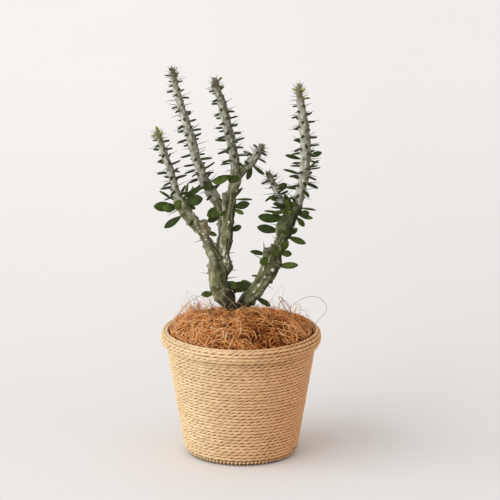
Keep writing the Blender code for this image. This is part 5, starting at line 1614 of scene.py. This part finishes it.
class StageSettings(bpy.types.PropertyGroup):
    """Light, floor and camera."""

    floor: colour_property("Floor", "Colour of the floor near the front", (0.80, 0.778, 0.755))
    sky: bpy.props.FloatProperty(
        name="Sky", description="Strength of the even light from all sides", default=0.74, min=0
    )
    sun: bpy.props.FloatProperty(
        name="Side light", description="Strength of the soft light from the left", default=2.35, min=0
    )
    fill: bpy.props.FloatProperty(
        name="Warm fill", description="Strength of the weak warm light from the right", default=0.35, min=0
    )
    distance: length_property("Camera distance", "Distance from the camera to what it looks at", 6000.0)
    tilt: bpy.props.FloatProperty(
        name="Camera tilt", description="How far the camera looks down", default=PHOTO_TILT, subtype="ANGLE"
    )


SETTINGS = {
    "plant_cord": CordSettings, "plant_fibre": FibreSettings, "plant_growth": PlantSettings,
    "plant_stage": StageSettings,
}


# Operators


class MixFinishes(bpy.types.Operator):
    """Makes the shared node groups and the material of each piece."""

    bl_idname = "potted.mix_finishes"
    bl_label = "Mix finishes"

    def execute(self, context):
        scene = context.scene
        mottle_group()
        speck_group()
        cord = scene.plant_cord
        cord_finish("twisted_cord", cord.light, cord.dark, cord.painted_shade_right, 0.12, 0.7)
        cord_finish("twisted_cord_foot", cord.light, cord.dark, cord.painted_shade_right, 0.2, 0.55, FOOT_BEAT)
        core_finish()
        fibre = scene.plant_fibre
        coir_finish(fibre.light, fibre.middle, fibre.dark)
        growth = scene.plant_growth
        bark_finish(growth.bark_green, growth.bark_brown, (0.19, 0.195, 0.095))
        stray_finish()
        skin_finish(growth.skin, growth.crest)
        leaf_finish("leaf", growth.leaf, growth.leaf_light, growth.leaf_young)
        spine_finish()
        floor_finish(scene.plant_stage.floor)
        return {"FINISHED"}


class FinishLinings(bpy.types.Operator):
    """Gives the shell, the nursery pot and the soil their materials."""

    bl_idname = "potted.finish_linings"
    bl_label = "Finish shell, pot and soil"

    def execute(self, context):
        for node, make in (
            ("basket_shell", shell_finish), ("nursery_pot", nursery_finish), ("soil", soil_finish)
        ):
            made = make()
            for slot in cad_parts[node].material_slots:
                slot.material = made
        return {"FINISHED"}


class WindWall(bpy.types.Operator):
    """Winds the twisted cord down the basket's wall in two pieces, with a tighter one at its foot."""

    bl_idname = "potted.wind_wall"
    bl_label = "Wind the wall"

    def execute(self, context):
        settings = context.scene.plant_cord
        path = wall_path(CAD_CORD / 2, WALL_TOP + WALL_UNDER_RIM)
        half = settings.cord_pitch / MM / 2
        end = path_length(path) - half
        foot = end - FOOT_TURNS * settings.cord_pitch / MM
        step = settings.cord_step / MM
        wound = wound_cord(path, half, foot, settings, 201, settings.cord_lay / MM, step)
        finish = finish_named("twisted_cord")
        cord_piece("cord_wall_upper", wound, (0.0, 0.5), finish, ["rope_wall"])
        cord_piece("cord_wall_lower", wound, (0.5, 1.0), finish, ["rope_wall"])
        start = (foot - half) / settings.cord_pitch * MM * TAU
        wound = wound_cord(path, foot, end, settings, 251, settings.foot_lay / MM, step / 2, start, 0.46)
        cord_piece("cord_foot", wound, (0.0, 1.0), finish_named("twisted_cord_foot"), ["rope_wall"])
        return {"FINISHED"}


class WindRim(bpy.types.Operator):
    """Winds the cord over the rolled rim, on a dark core."""

    bl_idname = "potted.wind_rim"
    bl_label = "Wind the rim"

    def execute(self, context):
        settings = context.scene.plant_cord
        path = rim_path(CAD_CORD / 2)
        half = settings.cord_pitch / MM / 2
        end = path_length(path) - half
        wound = wound_cord(path, half, end, settings, 301, settings.cord_lay / MM, settings.cord_step / MM)
        cord_piece("cord_rim", wound, (0.0, 1.0), finish_named("twisted_cord"), ["rope_rim"])
        oval = rim_path(3.3)
        foot = oval[-1, 1]
        top = SHELL_TOP + 0.3
        inside = [(shell_radius(foot, CAD_CORD), foot), (shell_radius(top, CAD_CORD), top)]
        core = hoop(turned(np.vstack([oval[::3], inside]), 120))
        placed("rim_core", mesh_of("rim_core", core, {}), finish_named("cord_shade"), ["rope_rim"])
        return {"FINISHED"}


class FillMouth(bpy.types.Operator):
    """Fills the basket's mouth with a mound of curled coconut fibre."""

    bl_idname = "potted.fill_mouth"
    bl_label = "Fill the mouth"

    def execute(self, context):
        finish = finish_named("coconut_fibre")
        coir_mound(finish)
        for seed, (name, layer) in enumerate(FIBRE_LAYERS.items(), start=51):
            coir_strands(name, layer, seed, finish)
        coir_tufts(finish)
        stray_fibres(finish_named("stray_fibre"))
        return {"FINISHED"}


class GrowTrunk(bpy.types.Operator):
    """Grows the three woody arms with their stumps, leaves and spines."""

    bl_idname = "potted.grow_trunk"
    bl_label = "Grow the trunk"

    def execute(self, context):
        settings = context.scene.plant_growth
        stems = all_stems()
        trunk_bark(finish_named("woody_bark"), settings.bark_voxel)
        trunk_leaves(stems, settings, finish_named("leaf"))
        trunk_spines(stems, settings, finish_named("spine"))
        return {"FINISHED"}


class GrowShoots(bpy.types.Operator):
    """Grows the six leafy, spiny shoots."""

    bl_idname = "potted.grow_shoots"
    bl_label = "Grow the shoots"

    def execute(self, context):
        settings = context.scene.plant_growth
        stems = all_stems()
        step = settings.areole_step / MM
        skin, leaf, spine = (finish_named(name) for name in ("shoot_skin", "leaf", "spine"))
        for seed, node in enumerate(SHOOTS, start=1):
            stem = stems[node]
            arcs, azimuths = areoles(stem, step, FIRST_AREOLE, seed)
            shoot_skin(node + "_skin", node, stem, arcs, azimuths, step, skin)
            shoot_leaves(node + "_leaves", node, stem, stems, arcs, azimuths, settings, seed, leaf)
            shoot_spines(node + "_spines", node, stem, stems, arcs, azimuths, settings, seed, spine)
        return {"FINISHED"}


def add_light(name, strength, colour, spread_degrees, direction):
    """A sun lamp, so that its light is as strong all over the floor, with a soft shadow."""
    lamp = bpy.data.lights.new(name, "SUN")
    lamp.energy = strength
    lamp.color = colour
    lamp.angle = math.radians(spread_degrees)
    light = bpy.data.objects.new(name, lamp)
    light.rotation_euler = Vector(direction).to_track_quat("-Z", "Y").to_euler()
    bpy.context.scene.collection.objects.link(light)


class SetStage(bpy.types.Operator):
    """Lays the floor, and sets the light and the camera."""

    bl_idname = "potted.set_stage"
    bl_label = "Set the stage"

    def execute(self, context):
        scene = context.scene
        settings = scene.plant_stage
        radii = np.array([0.0005, 0.3, 1, 3, 6, 12]) / MM
        rings = turned(np.stack([radii, 0 * radii], -1), 64)
        flat = closed_tubes(rings[None])
        floor = bpy.data.objects.new("floor", mesh_of("floor", open_disc(flat, 64), {}))
        scene.collection.objects.link(floor)
        floor.data.materials.append(finish_named("floor"))

        world = scene.world or bpy.data.worlds.new("Studio")
        scene.world = world
        world.use_nodes = True
        sky = world.node_tree.nodes["Background"]
        sky.inputs["Color"].default_value = (1.0, 0.985, 0.968, 1.0)
        sky.inputs["Strength"].default_value = settings.sky

        add_light("Side light", settings.sun, (0.95, 1.0, 1.05), 75, (0.84, 0.40, -0.42))
        add_light("Warm fill", settings.fill, (1.0, 0.68, 0.42), 70, (-0.84, 0.45, -0.16))

        lens = bpy.data.cameras.new("Camera")
        lens.sensor_width = 36.0
        lens.lens = 36.0 * settings.distance / (500 * PHOTO_SCALE * MM)
        lens.clip_end = 100.0
        camera = bpy.data.objects.new("Camera", lens)
        aim = Vector(VIEW_CENTRE) * MM
        back = Vector((0, -math.cos(settings.tilt), math.sin(settings.tilt)))
        camera.location = aim + back * settings.distance
        camera.rotation_euler = (-back).to_track_quat("-Z", "Y").to_euler()
        scene.collection.objects.link(camera)
        scene.camera = camera
        scene.view_settings.view_transform = "Standard"
        return {"FINISHED"}


OPERATORS = (MixFinishes, SetStage, FinishLinings, WindWall, WindRim, FillMouth, GrowTrunk, GrowShoots)


class PottedPlantPanel(bpy.types.Panel):
    """Lists the settings and the steps that build the potted plant."""

    bl_idname = "VIEW3D_PT_potted_plant"
    bl_label = "Potted plant"
    bl_space_type = "VIEW_3D"
    bl_region_type = "UI"
    bl_category = "Potted plant"

    def draw(self, context):
        layout = self.layout
        for key, group in SETTINGS.items():
            box = layout.box()
            box.label(text=group.__doc__.split(".")[0])
            for name in group.__annotations__:
                box.prop(getattr(context.scene, key), name)
        for operator in OPERATORS:
            layout.operator(operator.bl_idname)


CLASSES = (*SETTINGS.values(), *OPERATORS, PottedPlantPanel)


def register():
    for item in CLASSES:
        bpy.utils.register_class(item)
    for key, group in SETTINGS.items():
        setattr(bpy.types.Scene, key, bpy.props.PointerProperty(type=group))


def unregister():
    for key in SETTINGS:
        delattr(bpy.types.Scene, key)
    for item in reversed(CLASSES):
        bpy.utils.unregister_class(item)


def main():
    register()
    for operator in OPERATORS:
        group, name = operator.bl_idname.split(".")
        getattr(getattr(bpy.ops, group), name)()


if __name__ == "__main__":
    main()
